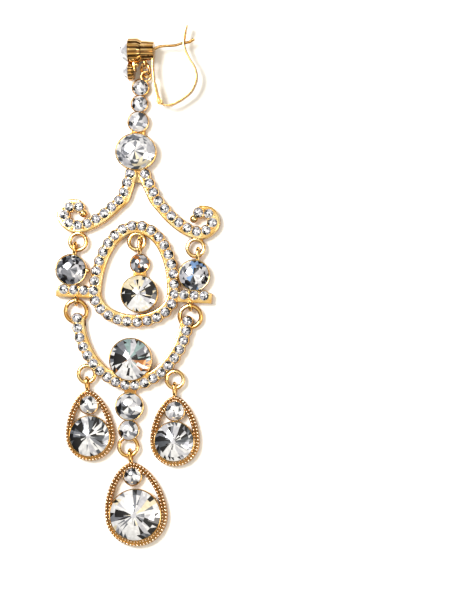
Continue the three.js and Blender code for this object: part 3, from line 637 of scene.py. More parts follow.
def bead(across, x, y, z):
    r = across / 2
    profile = [(r * math.sin(a), z - r * math.cos(a)) for a in np.linspace(0, math.pi, 9)]
    profile[0], profile[-1] = (0, z - r), (0, z + r)
    return moved(turned(profile, 14, name="bead"), x, y)


def slab(width, length, height, x, y):
    line = [(x, y - length / 2), (x, y + length / 2)]
    return swept(line, rounded(-width / 2, width / 2, 0, height, 0.12), name="slab")


SIZES = {
    "stem_1": cup_sizes(3.6), "stem_3": cup_sizes(4.4), "oval": cup_sizes(7.6),
    "side": cup_sizes(6.4), "pendant_small": cup_sizes(4.1),
    "pendant_large": cup_sizes(7.6, 0.12), "u_large": cup_sizes(8.7, 0.12),
    "u_middle": cup_sizes(5.8), "u_small": cup_sizes(4.3),
}
SIZES["stem_2"] = SIZES["stem_1"]
print("the large stone of the U is", round(2 * SIZES["u_large"]["stone"], 2), "mm across")

# %% [markdown]
# Links
# Every ring and loop is bent from round wire: a circle, drawn out along one direction, with a
# small circle swept along it. That is a few nodes, and one tree makes them all. A torus would do
# for the round ones, but the standing loops are long ovals.

# %% Bend the links with one node tree
def new_tree(name, inputs):
    tree = bpy.data.node_groups.new(name, "GeometryNodeTree")
    tree.interface.new_socket("Geometry", in_out="INPUT", socket_type="NodeSocketGeometry")
    for label, kind in inputs.items():
        tree.interface.new_socket(label, in_out="INPUT", socket_type=f"NodeSocket{kind}")
    tree.interface.new_socket("Geometry", in_out="OUTPUT", socket_type="NodeSocketGeometry")
    bench = Bench(tree)
    return bench, bench.node("NodeGroupInput")


def shape_of(bench, wire):
    return bench.node("GeometryNodeObjectInfo", None, {"Object": wire, "As Instance": False})["Geometry"]


def along_line(bench):
    """The turn that points an instance's X along the guide line."""
    tangent = bench.node("GeometryNodeInputTangent")[0]
    return bench.node("FunctionNodeAlignRotationToVector", {"axis": "X", "pivot_axis": "Z"}, {
        "Vector": tangent})[0]


def united(bench, shells):
    fused = bench.node("GeometryNodeMeshBoolean", {"operation": "UNION", "solver": "MANIFOLD"}, {
        1: shells})
    return bench.node("GeometryNodeRealizeInstances", None, {0: fused[0]})[0]


def run_tree(name, bench, values, guide=None):
    """Runs a tree on a guide mesh and returns the finished mesh."""
    thing = holder(name, guide or bpy.data.meshes.new(name))
    modifier = thing.modifiers.new("tree", "NODES")
    modifier.node_group = bench.tree
    for item in bench.tree.interface.items_tree:
        if item.name in values and item.in_out == "INPUT":
            modifier[item.identifier] = values[item.name]
    mesh = in_order(plain_mesh(thing, name))
    bpy.data.objects.remove(thing)
    return mesh


def in_order(mesh):
    """Puts gold first and crystal second among the mesh's materials."""
    names = [m.name if m else "" for m in mesh.materials]
    crystal = [i for i, name in enumerate(names) if name == CRYSTAL.name]
    finish = [1 if face.material_index in crystal else 0 for face in mesh.polygons]
    mesh.materials.clear()
    mesh.materials.append(GOLD)
    mesh.materials.append(CRYSTAL)
    mesh.polygons.foreach_set("material_index", finish)
    return mesh


def link_tree():
    bench, given = new_tree("link", {"Radius": "Float", "Wire": "Float", "Stretch": "Float"})
    circle = bench.node("GeometryNodeCurvePrimitiveCircle", None, {
        "Resolution": 48, "Radius": given["Radius"]})
    place = bench.node("ShaderNodeSeparateXYZ", None, {0: bench.node("GeometryNodeInputPosition")[0]})
    side = bench.node("ShaderNodeMath", {"operation": "SIGN"}, {0: place[1]})[0]
    offset = bench.node("ShaderNodeCombineXYZ", None, {1: side * given["Stretch"]})
    drawn = bench.node("GeometryNodeSetPosition", None, {"Geometry": circle[0], "Offset": offset[0]})
    section = bench.node("GeometryNodeCurvePrimitiveCircle", None, {
        "Resolution": 16, "Radius": given["Wire"] * 0.5})
    wire = bench.node("GeometryNodeCurveToMesh", None, {0: drawn[0], 1: section[0]})
    real = bench.node("GeometryNodeRealizeInstances", None, {0: wire[0]})
    gold = bench.node("GeometryNodeSetMaterial", None, {"Geometry": real[0], "Material": GOLD})
    smooth = bench.node("GeometryNodeSetShadeSmooth", None, {"Geometry": gold[0]})
    bench.node("NodeGroupOutput", None, {0: smooth[0]})
    return bench


LINKS = link_tree()
RING_WIRE, LOOP_WIRE, RING_Z, LOOP_HEIGHT = 0.84, 0.75, 1.25, 2.5
RING_ACROSS = 4.2
ON_EDGE = Matrix.Rotation(math.pi / 2, 3, "Y")


def link(across, wire, length=None):
    stretch = ((length or across) - across) / 2
    mesh = run_tree("link", LINKS, {
        "Radius": (across - wire) / 2, "Wire": wire, "Stretch": stretch})
    volume = sum(mesh.vertices[f.vertices[0]].co.dot(f.normal) * f.area for f in mesh.polygons)
    if volume < 0:
        mesh.flip_normals()
    return mesh


def flat_ring(across, x, y):
    return moved(link(across, RING_WIRE), x, y, RING_Z)


def standing_loop(length, x, y):
    return moved(link(LOOP_HEIGHT, LOOP_WIRE, length), x, y, RING_Z, ON_EDGE)


print("a link has", len(link(RING_ACROSS, RING_WIRE).polygons), "faces")

# %% [markdown]
# Rows of small stones
# The arms, the egg, the bars and the U are rows of equal small stones. Each stone sits in its own
# drilled seat, and small beads of metal are pushed up between neighbours to hold it. One tree
# walks along a guide line: even points get a seat and one of four stones, each turned as it fell,
# and odd points get the beads. All of it is then joined to the band beside the row as one body,
# as the caster and the setter leave it. Arrays that follow curves would need one stack of
# modifiers for each row.

# %% Grow rows of stones with a node tree
def row_tree():
    objects = {"Band": "Object", "Seat": "Object", "Beads": "Object"}
    stones = {f"Stone {i}": "Object" for i in range(1, 5)}
    bench, given = new_tree("stone_row", {**objects, **stones, "Count": "Int", "Seed": "Int"})

    curve = bench.node("GeometryNodeMeshToCurve", None, {0: given["Geometry"]})
    line = bench.node("GeometryNodeResampleCurve", None, {"Curve": curve[0], "Count": given["Count"]})
    index = bench.node("GeometryNodeInputIndex")[0]
    odd = bench.node("ShaderNodeMath", {"operation": "MODULO"}, {0: index, 1: 2.0})[0]
    wrapped = [bench.node("GeometryNodeGeometryToInstance", None, {0: shape_of(bench, given[label])})[0]
               for label in stones]
    choice = bench.node("GeometryNodeJoinGeometry", None, {0: wrapped})
    spin = bench.node("FunctionNodeRandomValue", {"data_type": "FLOAT"}, {
        2: 0.0, 3: 2 * math.pi, "Seed": given["Seed"]})
    pick = bench.node("FunctionNodeRandomValue", {"data_type": "INT"}, {
        4: 0, 5: 3, "Seed": given["Seed"]})
    turned_by = bench.node("ShaderNodeCombineXYZ", None, {2: spin[1]})
    seats = bench.node("GeometryNodeInstanceOnPoints", None, {
        "Points": line[0], "Selection": 1 - odd, "Instance": shape_of(bench, given["Seat"])})
    stones_set = bench.node("GeometryNodeInstanceOnPoints", None, {
        "Points": line[0], "Selection": 1 - odd, "Instance": choice[0], "Pick Instance": True,
        "Instance Index": pick[2], "Rotation": turned_by[0]})
    beads = bench.node("GeometryNodeInstanceOnPoints", None, {
        "Points": line[0], "Selection": odd, "Instance": shape_of(bench, given["Beads"]),
        "Rotation": along_line(bench)})
    band = shape_of(bench, given["Band"])
    real = united(bench, [band, seats[0], stones_set[0], beads[0]])
    is_stone = bench.node("GeometryNodeMaterialSelection", None, {"Material": CRYSTAL})[0]
    gold = bench.node("GeometryNodeSetMaterial", None, {
        "Geometry": real, "Selection": 1 - is_stone, "Material": GOLD})
    bench.node("NodeGroupOutput", None, {0: gold[0]})
    return bench


ROWS = row_tree()
SEAT_PROFILE = [(0, 0), (SEAT, 0), (SEAT, 1.78), (SEAT - 0.03, 1.82),
                (SEAT - 0.06, 1.82), (SEAT - 0.08, 1.5), (0, 1.5)]
BEAD_PROFILE = [(0, 0.3), (0.24, 0.3), (0.24, 1.92), (0.17, 2.08), (0.08, 2.15), (0, 2.16)]


def bead_pair():
    pair = [moved(turned(BEAD_PROFILE, 10), 0, y) for y in (-0.66, 0.66)]
    return solder("bead_pair", pair)


# Each seat's inner wall round its stone carries a dark brown painted shade.
TOOLS = {
    "Seat": holder("seat_tool", paint_shade_and_highlight(turned(SEAT_PROFILE, 20), lambda c: 1.45 < c.z < 1.8 and (
        c.xy.length < SEAT - 0.04))),
    "Beads": holder("beads_tool", bead_pair()),
    **{f"Stone {i}": holder(f"stone_tool_{i}", pave_stone(i)) for i in range(1, 5)},
}


def guide_mesh(line, closed):
    edges = [(i, i + 1) for i in range(len(line) - 1)] + ([(len(line) - 1, 0)] if closed else [])
    mesh = bpy.data.meshes.new("guide")
    mesh.from_pydata([(*p, 0) for p in line], edges, [])
    return mesh


def stone_row(line, count, side, seed, closed=False, low_side=SEAT / 2):
    """A row of stones along a line, with its ledge on the left (side 1) or right (side -1)."""
    gaps = count if closed else count - 1
    inner, outer = sorted((-side * low_side, side * (SEAT + LEDGE)))
    band = swept(line, rounded(inner, outer, 0, BAND_HEIGHT, 0.3, 5), closed)
    thing = holder("band_tool", band)
    row = run_tree("stone_row", ROWS, {
        **TOOLS, "Band": thing, "Count": 2 * gaps + (0 if closed else 1), "Seed": seed},
        guide_mesh(line, closed))
    bpy.data.objects.remove(thing)
    return row


print("the rows are set with", ", ".join(TOOLS))

# %% [markdown]
# Guide lines
# The arms follow a smooth curve through a few points, as a silversmith's drawing would give it.
# A centripetal curve never makes loops between its points, which a plain spline might at the
# tight scroll. Every guide is then walked at equal steps, so the stones are evenly spaced.

# %% Draw curves
def through(points, closed=False, steps=40):
    """A centripetal curve through points, as many close points."""
    places = [np.array(p, float) for p in points]
    if closed:
        places = [places[-1]] + places + places[:2]
    else:
        places = [2 * places[0] - places[1]] + places + [2 * places[-1] - places[-2]]
    line = []
    for p0, p1, p2, p3 in zip(places, places[1:], places[2:], places[3:]):
        t0 = 0.0
        t1 = t0 + np.linalg.norm(p1 - p0) ** 0.5
        t2 = t1 + np.linalg.norm(p2 - p1) ** 0.5
        t3 = t2 + np.linalg.norm(p3 - p2) ** 0.5
        for t in np.linspace(t1, t2, steps, endpoint=False):
            a1 = (p0 * (t1 - t) + p1 * (t - t0)) / (t1 - t0)
            a2 = (p1 * (t2 - t) + p2 * (t - t1)) / (t2 - t1)
            a3 = (p2 * (t3 - t) + p3 * (t - t2)) / (t3 - t2)
            b1 = (a1 * (t2 - t) + a2 * (t - t0)) / (t2 - t0)
            b2 = (a2 * (t3 - t) + a3 * (t - t1)) / (t3 - t1)
            line.append((b1 * (t2 - t) + b2 * (t - t1)) / (t2 - t1))
    return line if closed else line + [places[-2]]


def even(line, count, closed=False):
    """`count` points at equal steps; a closed line doesn't repeat its first point."""
    line = np.array(line)
    full = np.vstack([line, line[:1]]) if closed else line
    lengths = np.concatenate([[0], np.cumsum(np.linalg.norm(np.diff(full, axis=0), axis=1))])
    places = np.linspace(0, lengths[-1], count, endpoint=not closed)
    return [tuple(float(np.interp(p, lengths, full[:, k])) for k in (0, 1)) for p in places]


def length_of(line, closed=False):
    line = np.array(line)
    full = np.vstack([line, line[:1]]) if closed else line
    return float(np.linalg.norm(np.diff(full, axis=0), axis=1).sum())


def pave(line, side, seed, closed=False):
    gaps = round(length_of(line, closed) / PAVE_PITCH)
    count = gaps if closed else gaps + 1
    return stone_row(even(line, 4 * gaps + (0 if closed else 1), closed), count, side, seed, closed)


print("a bent line of 5 mm by 5 mm is", round(length_of(through([(0, 0), (5, 0), (5, 5)])), 1), "mm long")


# %% [markdown]
# The arms
# Two arms grow out of the oval cup, run down and apart, and end in scroll curls with a bead at
# the tip. A ring under each curl carries the frame below. The stem of three round cups stands on
# top with its eyelet. All of this is one casting.

# %% Make the arms frame
ARM_SPAN, ARM_DROP, ARM_SHIFT, ARM_SHIFT_BY = 15.14, 15.44, 1.25, 0.6
ARM_PATH = [
    (0.098, 0.286), (0.188, 0.509), (0.232, 0.606), (0.32, 0.696), (0.412, 0.79), (0.515, 0.874),
    (0.639, 0.952), (0.762, 0.997), (0.886, 1), (1, 0.889), (0.951, 0.768), (0.808, 0.755),
]


def arm_point(hand, out, down):
    return hand * out * ARM_SPAN + ARM_SHIFT * min(1, down / ARM_SHIFT_BY), -down * ARM_DROP


def arms_frame():
    oval = SIZES["oval"]
    shells = [cup(oval, OVAL_STRETCH)]
    reach, stem = oval["radius"] + 0.4, []
    for key in ("stem_3", "stem_2", "stem_1"):
        sizes = SIZES[key]
        stem.append(reach + sizes["radius"] - OVERLAP)
        reach = stem[-1] + sizes["radius"]
        shells.append(moved(cup(sizes), 0, stem[-1]))
    hole = SIZES["stem_1"]["radius"] + 0.95 - 0.275
    lean = math.radians(23)
    shells.append(moved(link(2.45, 0.55), math.sin(lean) * hole, stem[-1] + math.cos(lean) * hole, 1.25))
    shells.append(slab(3, 1.0, 1.2, 0, oval["radius"] + 0.2))
    roots = [arm_point(hand, *ARM_PATH[0]) for hand in (-1, 1)]
    web_top, web_low = -oval["radius"] + 0.5, roots[0][1] - 1.8
    web_x = (roots[0][0] + roots[1][0]) / 2
    web = slab(roots[1][0] - roots[0][0], web_top - web_low, 1.7, web_x, (web_top + web_low) / 2)
    # The web between the roots of the arms carries an even brown painted shade.
    shells.append(paint_shade_and_highlight(web, lambda c: 0.6))
    for hand in (-1, 1):
        line = through([arm_point(hand, *p) for p in ARM_PATH])
        shells.append(pave(line, -hand, 20 + hand))
        shells.append(bead(1.7, *arm_point(hand, 0.745, 0.837), 1.3))
        ring_drop = ARM_DROP + SEAT + LEDGE + RING_ACROSS / 2 - OVERLAP
        shells.append(flat_ring(RING_ACROSS, hand * CURL_OUT * ARM_SPAN + ARM_SHIFT, -ring_drop))
    fused = solder("arms_frame", shells)
    stem_pockets = []
    for key, y in zip(("stem_3", "stem_2", "stem_1"), stem):
        stem_pockets.append(moved(pocket(SIZES[key]), 0, y))
    return hollowed("arms_frame", fused, stem_pockets + [pocket(oval, OVAL_STRETCH)]), stem


def pocket(sizes, stretch=1.0):
    """The room that a cup keeps for its stone."""
    inner, seat = sizes["radius"] - CUP_WALL, sizes["low"] - STONE_GAP
    profile = [(0, sizes["floor"]), (sizes["stone"], seat), (inner, seat), (inner, sizes["rim"] + 2),
               (0, sizes["rim"] + 2)]
    return turned(profile, 48, stretch, name="pocket")


def hollowed(name, mesh, holes):
    """A body with closed shells cut out of it, as one body."""
    for hole in holes:
        thing, cutter = holder(name, mesh), holder("cutter", hole)
        cut = thing.modifiers.new("cut", "BOOLEAN")
        cut.operation, cut.solver, cut.object = "DIFFERENCE", "MANIFOLD", cutter
        mesh = plain_mesh(thing, name)
        bpy.data.objects.remove(thing)
        bpy.data.objects.remove(cutter)
    return mesh


frame_mesh, stem_heights = arms_frame()
lay("arms_frame", frame_mesh, PLACES["arms"], "earring")
# Painted reflections of the stem and oval stones, by direction.
STEM_TONES = "pale slate white pale dark pale white grey".split()
for number, y in zip((3, 2, 1), stem_heights):
    key = f"stem_{number}"
    lay_stone(f"stem_stone_{number}", key, SIZES[key], STEM_TONES, 30 + number, PLACES["arms"], y=y,
              sides=8)
OVAL_TONES = "pale white grey pale white grey pale slate cream white".split()
lay_stone("oval_stone", "oval", SIZES["oval"], OVAL_TONES, 41, PLACES["arms"], rings=4,
          stretch=OVAL_STRETCH, odd=0.45)

# %% [markdown]
# The egg and its side bars
# The egg is one closed row. On each side a bar of three more stones runs out level with its
# widest place, with a round cup above it, a loop that stands on edge over the cup and a lug under
# the bar. The pieces touch, so they are soldered as one body before the pockets are cut.

# %% Make the egg frame
EGG_WIDTH, EGG_RISE, EGG_DROP = 8.2, 13.5, 5.9
side_sizes = SIZES["side"]
loop_x = ARM_SPAN * CURL_OUT + 0.53
side_loop_y = SIDE_HEIGHT + side_sizes["radius"] + 1.45 - OVERLAP
BAR_LOW, LUG_X = SEAT + LEDGE, 11.65
lug_y = -(BAR_LOW + 0.18 + 0.44)


def egg_frame():
    angles = np.linspace(math.pi, 3 * math.pi, 96, endpoint=False)
    egg = [(EGG_WIDTH * math.cos(a), (EGG_DROP if math.sin(a) < 0 else EGG_RISE) * math.sin(a))
           for a in angles]
    shells = [pave(egg, 1, 7, closed=True)]
    for hand in (-1, 1):
        bar = [(hand * (EGG_WIDTH + i * PAVE_PITCH), 0.0) for i in range(1, 4)]
        shells.append(stone_row(bar, 3, -hand, 50 + hand))
        end = [(hand * EGG_WIDTH, 0.0), (hand * (EGG_WIDTH + 3 * PAVE_PITCH + SEAT + 0.4), 0.0)]
        section = rounded(*sorted((-hand * BAR_LOW, hand * SEAT / 2)), 0, BAND_HEIGHT - 0.02, 0.14)
        shells.append(swept(end, section))
        shells.append(standing_loop(2.9, hand * loop_x, side_loop_y))
        shells.append(standing_loop(2.4, hand * LUG_X, lug_y))
        shells.append(bead(1.3, hand * (loop_x - side_sizes["radius"]) + SIDE_SHIFT, SIDE_HEIGHT, 1.3))
        shells.append(moved(cup(side_sizes), hand * loop_x + SIDE_SHIFT, SIDE_HEIGHT))
    shells.append(flat_ring(4, 0, EGG_RISE - SEAT - LEDGE - 2 + OVERLAP))
    fused = solder("egg_frame", shells)
    holes = [moved(pocket(side_sizes), hand * loop_x + SIDE_SHIFT, SIDE_HEIGHT) for hand in (-1, 1)]
    return hollowed("egg_frame", fused, holes)


lay("egg_frame", egg_frame(), PLACES["egg"], "earring")
# Painted reflections of the side stones, by direction.
SIDE_TONES = {
    "left": "pale dark grey dark slate grey dark grey pale white".split(),
    "right": "pale dark sky white grey pale dark slate white dark".split(),
}
for hand, name in ((-1, "left"), (1, "right")):
    lay_stone(f"side_stone_{name}", f"side_{name}", side_sizes, SIDE_TONES[name], 60 + hand,
              PLACES["egg"], hand * loop_x + SIDE_SHIFT, SIDE_HEIGHT, rings=3, odd=0.3)

# %% [markdown]
# Jump rings
# Three open rings are only threaded through their neighbours, so each keeps its own tilt: the
# two under the bars pass under the tips of the U, and the one at the head leans between two
# eyelets that stand square to each other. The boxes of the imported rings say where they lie.

# %% Bend the jump rings
def tilted(name, mesh, turn, body="earring"):
    middle = centre(name)
    where = Matrix.Translation(middle * MM) @ turn.to_4x4() @ Matrix.Scale(MM, 4)
    return lay(name, mesh, where, body)


egg_turn = PLACES["egg"].to_euler().z
slope = math.asin((RING_Z - 0.92) / 4.32)
for name in ("left", "right"):
    turn = Matrix.Rotation(egg_turn, 3, "Z") @ Matrix.Rotation(slope, 3, "X")
    tilted(f"bar_ring_{name}", link(5.2, 0.88), turn)
rise = Vector((0, math.sqrt(2.7 ** 2 - 0.9 ** 2), 0.9)).normalized()
level = Vector((1, 0, 0))
out = (level + level.cross(rise)).normalized()
tilted("head_ring", link(3.3, 0.6), Matrix((out, rise, out.cross(rise))).transposed())

# %% [markdown]
# The drop inside the egg
# A small and a large cup hang from a long loop that stands on edge. The large stone rises almost
# to a point, with narrow wedges whose painted reflections are black on both flanks and cream and
# white above and below, the bow that a foiled stone shows to someone looking straight down on it.

# %% Make the drop
small, large = SIZES["pendant_small"], SIZES["pendant_large"]
small_y = large["radius"] + 0.25 + small["radius"]
loop_y = small_y + small["radius"] - OVERLAP + 1.85
drop = solder("pendant_setting", [
    cup(large), moved(cup(small), 0, small_y), standing_loop(3.7, 0, loop_y),
    slab(2.6, 1.45, small["rim"], 0, large["radius"] + 0.125)])
drop = hollowed("pendant_setting", drop, [pocket(large), moved(pocket(small), 0, small_y)])
lay("pendant_setting", drop, PLACES["pendant"], "earring")
# Painted reflections of the drop's stones: a rust-coloured flash in the small one, a bow in the large one.
PENDANT_SMALL_TONES = "grey pale rust slate pale grey dark white".split()
BOW = ("dark dark pale cream cream cream cream dark dark dark white white white white pale dark").split()
lay_stone("pendant_stone_small", "pendant_small", small, PENDANT_SMALL_TONES, 71, PLACES["pendant"], y=small_y,
          sides=8)
lay_stone("pendant_stone_large", "pendant_large", large, BOW, 72, PLACES["pendant"], pointed=True,
          odd=0.2)

# %% [markdown]
# The U frame
# The U is a row of stones on a curve between an ellipse and a pointed arch. Its largest cup
# stands inside, two more hang below a short neck, and three soldered rings carry the drops.
# Tunnels are cut through both tips, where the jump rings pass.

# %% Make the U frame
U_WIDTH, U_DEPTH, ROUNDNESS = 11.2, 13.2, 1.8
RING_BEND, TUNNEL_Y, TUNNEL_ROOM = 2.16, -0.94, 0.62


def u_point(angle):
    power, run = 2 / ROUNDNESS, math.cos(angle)
    x = U_WIDTH * math.copysign(abs(run) ** power, run)
    return np.array((x, -U_DEPTH * abs(math.sin(angle)) ** power))


def side_ring(hand, out, sink):
    angle = math.acos(out ** (ROUNDNESS / 2))
    here, after = u_point(angle), u_point(angle + 0.01)
    along = (after - here) / np.linalg.norm(after - here)
    reach = SEAT + RING_ACROSS / 2 - sink
    return hand * (here[0] - along[1] * reach), here[1] + along[0] * reach


def u_frame():
    cups = {"u_large": -(U_DEPTH - SEAT - SIZES["u_large"]["radius"] + OVERLAP)}
    cups["u_middle"] = -(U_DEPTH + SEAT + 0.2 + SIZES["u_middle"]["radius"])
    cups["u_small"] = cups["u_middle"] - SIZES["u_middle"]["radius"] - SIZES["u_small"]["radius"] + OVERLAP
    line = through([u_point(math.pi * (1 - i / 40)) for i in range(41)], steps=8)
    shells = [pave(line, 1, 9)]
    shells += [moved(cup(SIZES[key]), 0, y) for key, y in cups.items()]
    neck = SEAT + 0.2 + 0.6
    shells.append(slab(2.4, neck, 1.2, 0, -(U_DEPTH + neck / 2)))
    for hand, out, sink in ((-1, 0.64, 0.8), (1, 0.62, 0.3)):
        shells.append(flat_ring(RING_ACROSS, *side_ring(hand, out, sink)))
    shells.append(flat_ring(4.6, 0, cups["u_small"] - SIZES["u_small"]["radius"] - 2.3 + 1.2))
    fused = solder("u_frame", shells)
    holes = [moved(pocket(SIZES[key]), 0, y) for key, y in cups.items()]
    bend = RING_BEND - math.sqrt(RING_BEND ** 2 - SEAT ** 2)
    low, high = TUNNEL_Y - TUNNEL_ROOM, TUNNEL_Y + bend + TUNNEL_ROOM + LEDGE
    for hand in (-1, 1):
        x = hand * U_WIDTH
        tunnel = [(x - 2 * SEAT, (low + high) / 2), (x + 2 * SEAT, (low + high) / 2)]
        half = (high - low) / 2
        holes.append(swept(tunnel, rounded(-half, half, 0.3, 1.54, 0.1)))
    return hollowed("u_frame", fused, holes), cups


u_mesh, u_cups = u_frame()
u_place = PLACES["u"] @ Matrix.Translation((0, -u_cups["u_large"], 0))
lay("u_frame", u_mesh, u_place, "earring")
# Painted reflections of the stones of the U, by direction.
U_TONES = {
    "large": ("dark grey teal pale teal grey slate dark "
             "dark dark white white white pale white rust").split(),
    "middle": "pale white slate white grey dark white pale slate white".split(),
    "small": "white slate pale white dark pale white grey".split(),
}
for size, rings in (("large", 3), ("middle", 3), ("small", 2)):
    big = size == "large"
    key = f"u_{size}"
    lay_stone(f"u_stone_{size}", key, SIZES[key], U_TONES[size], 80 + rings, u_place, y=u_cups[key],
              rings=rings, sides=16 if big else 8, pointed=big, odd=0.2)

# %% [markdown]
# The teardrops
# Each drop is a pear-shaped band whose top is covered by two rows of tiny beads. A jeweller
# rolls such beads with a knurled wheel. A second tree does it here: it walks the guide line at
# the pitch of the wheel and sets a pair of beads at each step, then joins them to the band.
# A bump texture would be lighter, but its beads would have no outline of their own.

# %% Bead the borders with a node tree
def bead_tree():
    bench, given = new_tree("beaded_border", {"Band": "Object", "Beads": "Object", "Pitch": "Float"})

    curve = bench.node("GeometryNodeMeshToCurve", None, {0: given["Geometry"]})
    line = bench.node("GeometryNodeResampleCurve", {"mode": "LENGTH"}, {
        "Curve": curve[0], "Length": given["Pitch"]})
    beads = bench.node("GeometryNodeInstanceOnPoints", None, {
        "Points": line[0], "Instance": shape_of(bench, given["Beads"]),
        "Rotation": along_line(bench)})
    real = united(bench, [shape_of(bench, given["Band"]), beads[0]])
    gold = bench.node("GeometryNodeSetMaterial", None, {"Geometry": real, "Material": GOLD})
    bench.node("NodeGroupOutput", None, {0: gold[0]})
    return bench


BORDERS = bead_tree()
BORDER, BORDER_HEIGHT, BEAD_PITCH = 1.2, 1.35, 0.72
DOME = [(0, 1.0), (0.23, 1.0), (0.23, 1.6), (0.18, 1.75), (0.1, 1.84), (0, 1.87)]
# Each border bead is painted pale all over, a painted highlight.
TOOLS["Border beads"] = holder("border_beads_tool", solder("border_beads", [
    moved(paint_shade_and_highlight(turned(DOME, 8), lambda c: 0, 0.9), 0, y) for y in (-0.3, -0.9)]))


def bezier(p0, p1, p2, p3, steps=60):
    t = np.linspace(0, 1, steps, endpoint=False)[:, None]
    p0, p1, p2, p3 = (np.array(p, float) for p in (p0, p1, p2, p3))
    return list((1 - t) ** 3 * p0 + 3 * (1 - t) ** 2 * t * p1 + 3 * (1 - t) * t ** 2 * p2 + t ** 3 * p3)


def pear(length, half_width):
    """A pear outline from its point at the origin, down its right side and up its left."""
    rise, shoulder = length - half_width, 0.4 * half_width
    flank = -0.45 * rise
    right = bezier((0, 0), (shoulder, 0), (half_width, flank), (half_width, -rise))
    left = bezier((-half_width, -rise), (-half_width, flank), (-shoulder, 0), (0, 0))
    bowl = [np.array((half_width * math.cos(a), -rise + half_width * math.sin(a)))
            for a in np.linspace(0, -math.pi, 80, endpoint=False)]
    return right + bowl + left


DROPS = {
    "left": (14.2, 4.96, 4.0, 8.4),
    "right": (14.06, 4.96, 4.2, 8.2),
    "bottom": (16.76, 6.3, 3.8, 10.5),
}
# Painted reflections of the drops' stones, by direction.
SMALL_TONES = "white slate pale dark white pale grey white".split()
DROP_TONES = {
    "left": ("dark white dark slate pale dark dark grey "
             "dark dark white white pale white grey slate").split(),
    "right": ("slate dark dark pale grey pale dark dark "
             "slate dark white white white pale white grey").split(),
    "bottom": ("white cream pale grey white white white dark "
             "dark grey white white white pale dark pale").split(),
}


def teardrop(name, seed):
    length, half_width, small_across, large_across = DROPS[name]
    small, large = cup_sizes(small_across), cup_sizes(large_across, 0.12)
    apex = length - half_width
    small_y = apex - 0.9 - small["radius"]
    line = [(x, y + apex) for x, y in even(pear(length, half_width), 96, closed=True)]
    band = swept(line, rounded(-BORDER, 0, 0, BORDER_HEIGHT, 0.1), closed=True)
    lift = half_width + apex
    # Painted shade on the top of the band between the beads, deeper in its upper half.
    band = holder("band_tool", paint_shade_and_highlight(band, lambda c: (c.z > BORDER_HEIGHT - 0.04) * (
        0.4 + 0.5 * min(1, max(0, (c.y + half_width) / lift * 2)))))
    perimeter = length_of(line, closed=True)
    pitch = perimeter / round(perimeter / BEAD_PITCH)
    border = run_tree("beaded_border", BORDERS, {
        "Band": band, "Beads": TOOLS["Border beads"], "Pitch": pitch}, guide_mesh(line, True))
    bpy.data.objects.remove(band)
    node = f"teardrop_{name}"
    fused = solder(node, [border, cup(large), moved(cup(small), 0, small_y),
                          standing_loop(3.2, 0, apex + 1.3)])
    fused = hollowed(node, fused, [pocket(large), moved(pocket(small), 0, small_y)])
    where = PLACES[name]
    lay(node, fused, where, "earring")
    lay_stone(f"{node}_stone_small", f"{node}_small", small, SMALL_TONES, seed, where, y=small_y,
              sides=8)
    lay_stone(f"{node}_stone_large", f"{node}_large", large, DROP_TONES[name], seed + 1, where,
              pointed=True, odd=0.2)


for name, seed in (("left", 90), ("right", 92), ("bottom", 94)):
    teardrop(name, seed)

# %% [markdown]
# The head and its clasp
# The head lies on its side: two deep fluted cups face left, and the leverback stands behind them.
# Its flat strips are cut from sheet and bent, so each is a level line swept with a thin upright
# section. The ear wire is round wire and passes through the slot of the lever. The lever turns on
# the pin between two cheeks, so it rides on its own body.

# %% Make the head
REACH, CLASP_HEIGHT, HEAD_Z = 7.5, 11.8, 2.6
PIVOT = (3.1, -7.95)
head_low, head_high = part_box("head_stone_large")
head_place = place((head_high.x / MM + 2.078, centre("head_stone_large").y - 2.45), 0)


def clasp_line(path, count=None):
    points = [(PIVOT[0] + out * REACH, PIVOT[1] + up * CLASP_HEIGHT) for out, up in path]
    return even(through(points), count) if count else points


def strip(line, width, thick=0.4):
    section = rounded(-thick / 2, thick / 2, HEAD_Z - width / 2, HEAD_Z + width / 2, 0.1)
    return swept(line, section)


def disc(across, width, z):
    r = across / 2
    return moved(turned([(0, 0), (r, 0), (r, width), (0, width)], 28, name="disc"), *PIVOT, z)


def round_wire(line, across):
    pairs = [(across / 2 * math.cos(a), HEAD_Z + across / 2 * math.sin(a))
             for a in np.linspace(0, 2 * math.pi, 14, endpoint=False)]
    return swept(line, pairs)


def fluted(profile, around, flutes, depth):
    """A turned shape whose walls swing in and out, for the deep ribbed cups of the head."""
    mesh = turned(profile, around, name="fluted")
    for vertex in mesh.vertices:
        angle = math.atan2(vertex.co.y, vertex.co.x)
        swing = 1 - depth * (0.5 - 0.5 * math.cos(flutes * angle))
        if vertex.co.z < profile[4][1] + 0.01:
            vertex.co.x *= swing
            vertex.co.y *= swing
    # Painted shade in the valleys of the flutes.
    return paint_shade_and_highlight(mesh, lambda c: 0.85 * (math.cos(flutes * math.atan2(c.y, c.x)) < -0.2))


FACING = Matrix.Rotation(-math.pi / 2, 3, "Y")
FRONT = -3.3
head_large = cup_sizes(5.2, floor=2.5 - 4.76 * 0.22, crown_share=0.36)
head_small = cup_sizes(3.7, floor=0.25, crown_share=0.36)


def forward(mesh, sizes, y):
    """Lays a shape that faces up so that it faces left, with its rim at the front."""
    moved(mesh, 0, 0, -sizes["rim"])
    return moved(mesh, FRONT, y, HEAD_Z, FACING)


def head_cup(sizes):
    r, rim, inner = sizes["radius"], sizes["rim"], sizes["radius"] - CUP_WALL
    profile = [(0, 0), (r * 0.8 - 0.1, 0), (r * 0.8, 0.1), (r, rim * 0.35), (r, rim - 0.35),
               (r, rim - 0.08), (r - 0.06, rim), (inner + 0.05, rim), (inner, rim - 0.06),
               (inner, sizes["low"] - STONE_GAP), (0, sizes["low"] - STONE_GAP - 0.05)]
    return fluted(profile, 96, 16, 0.06)


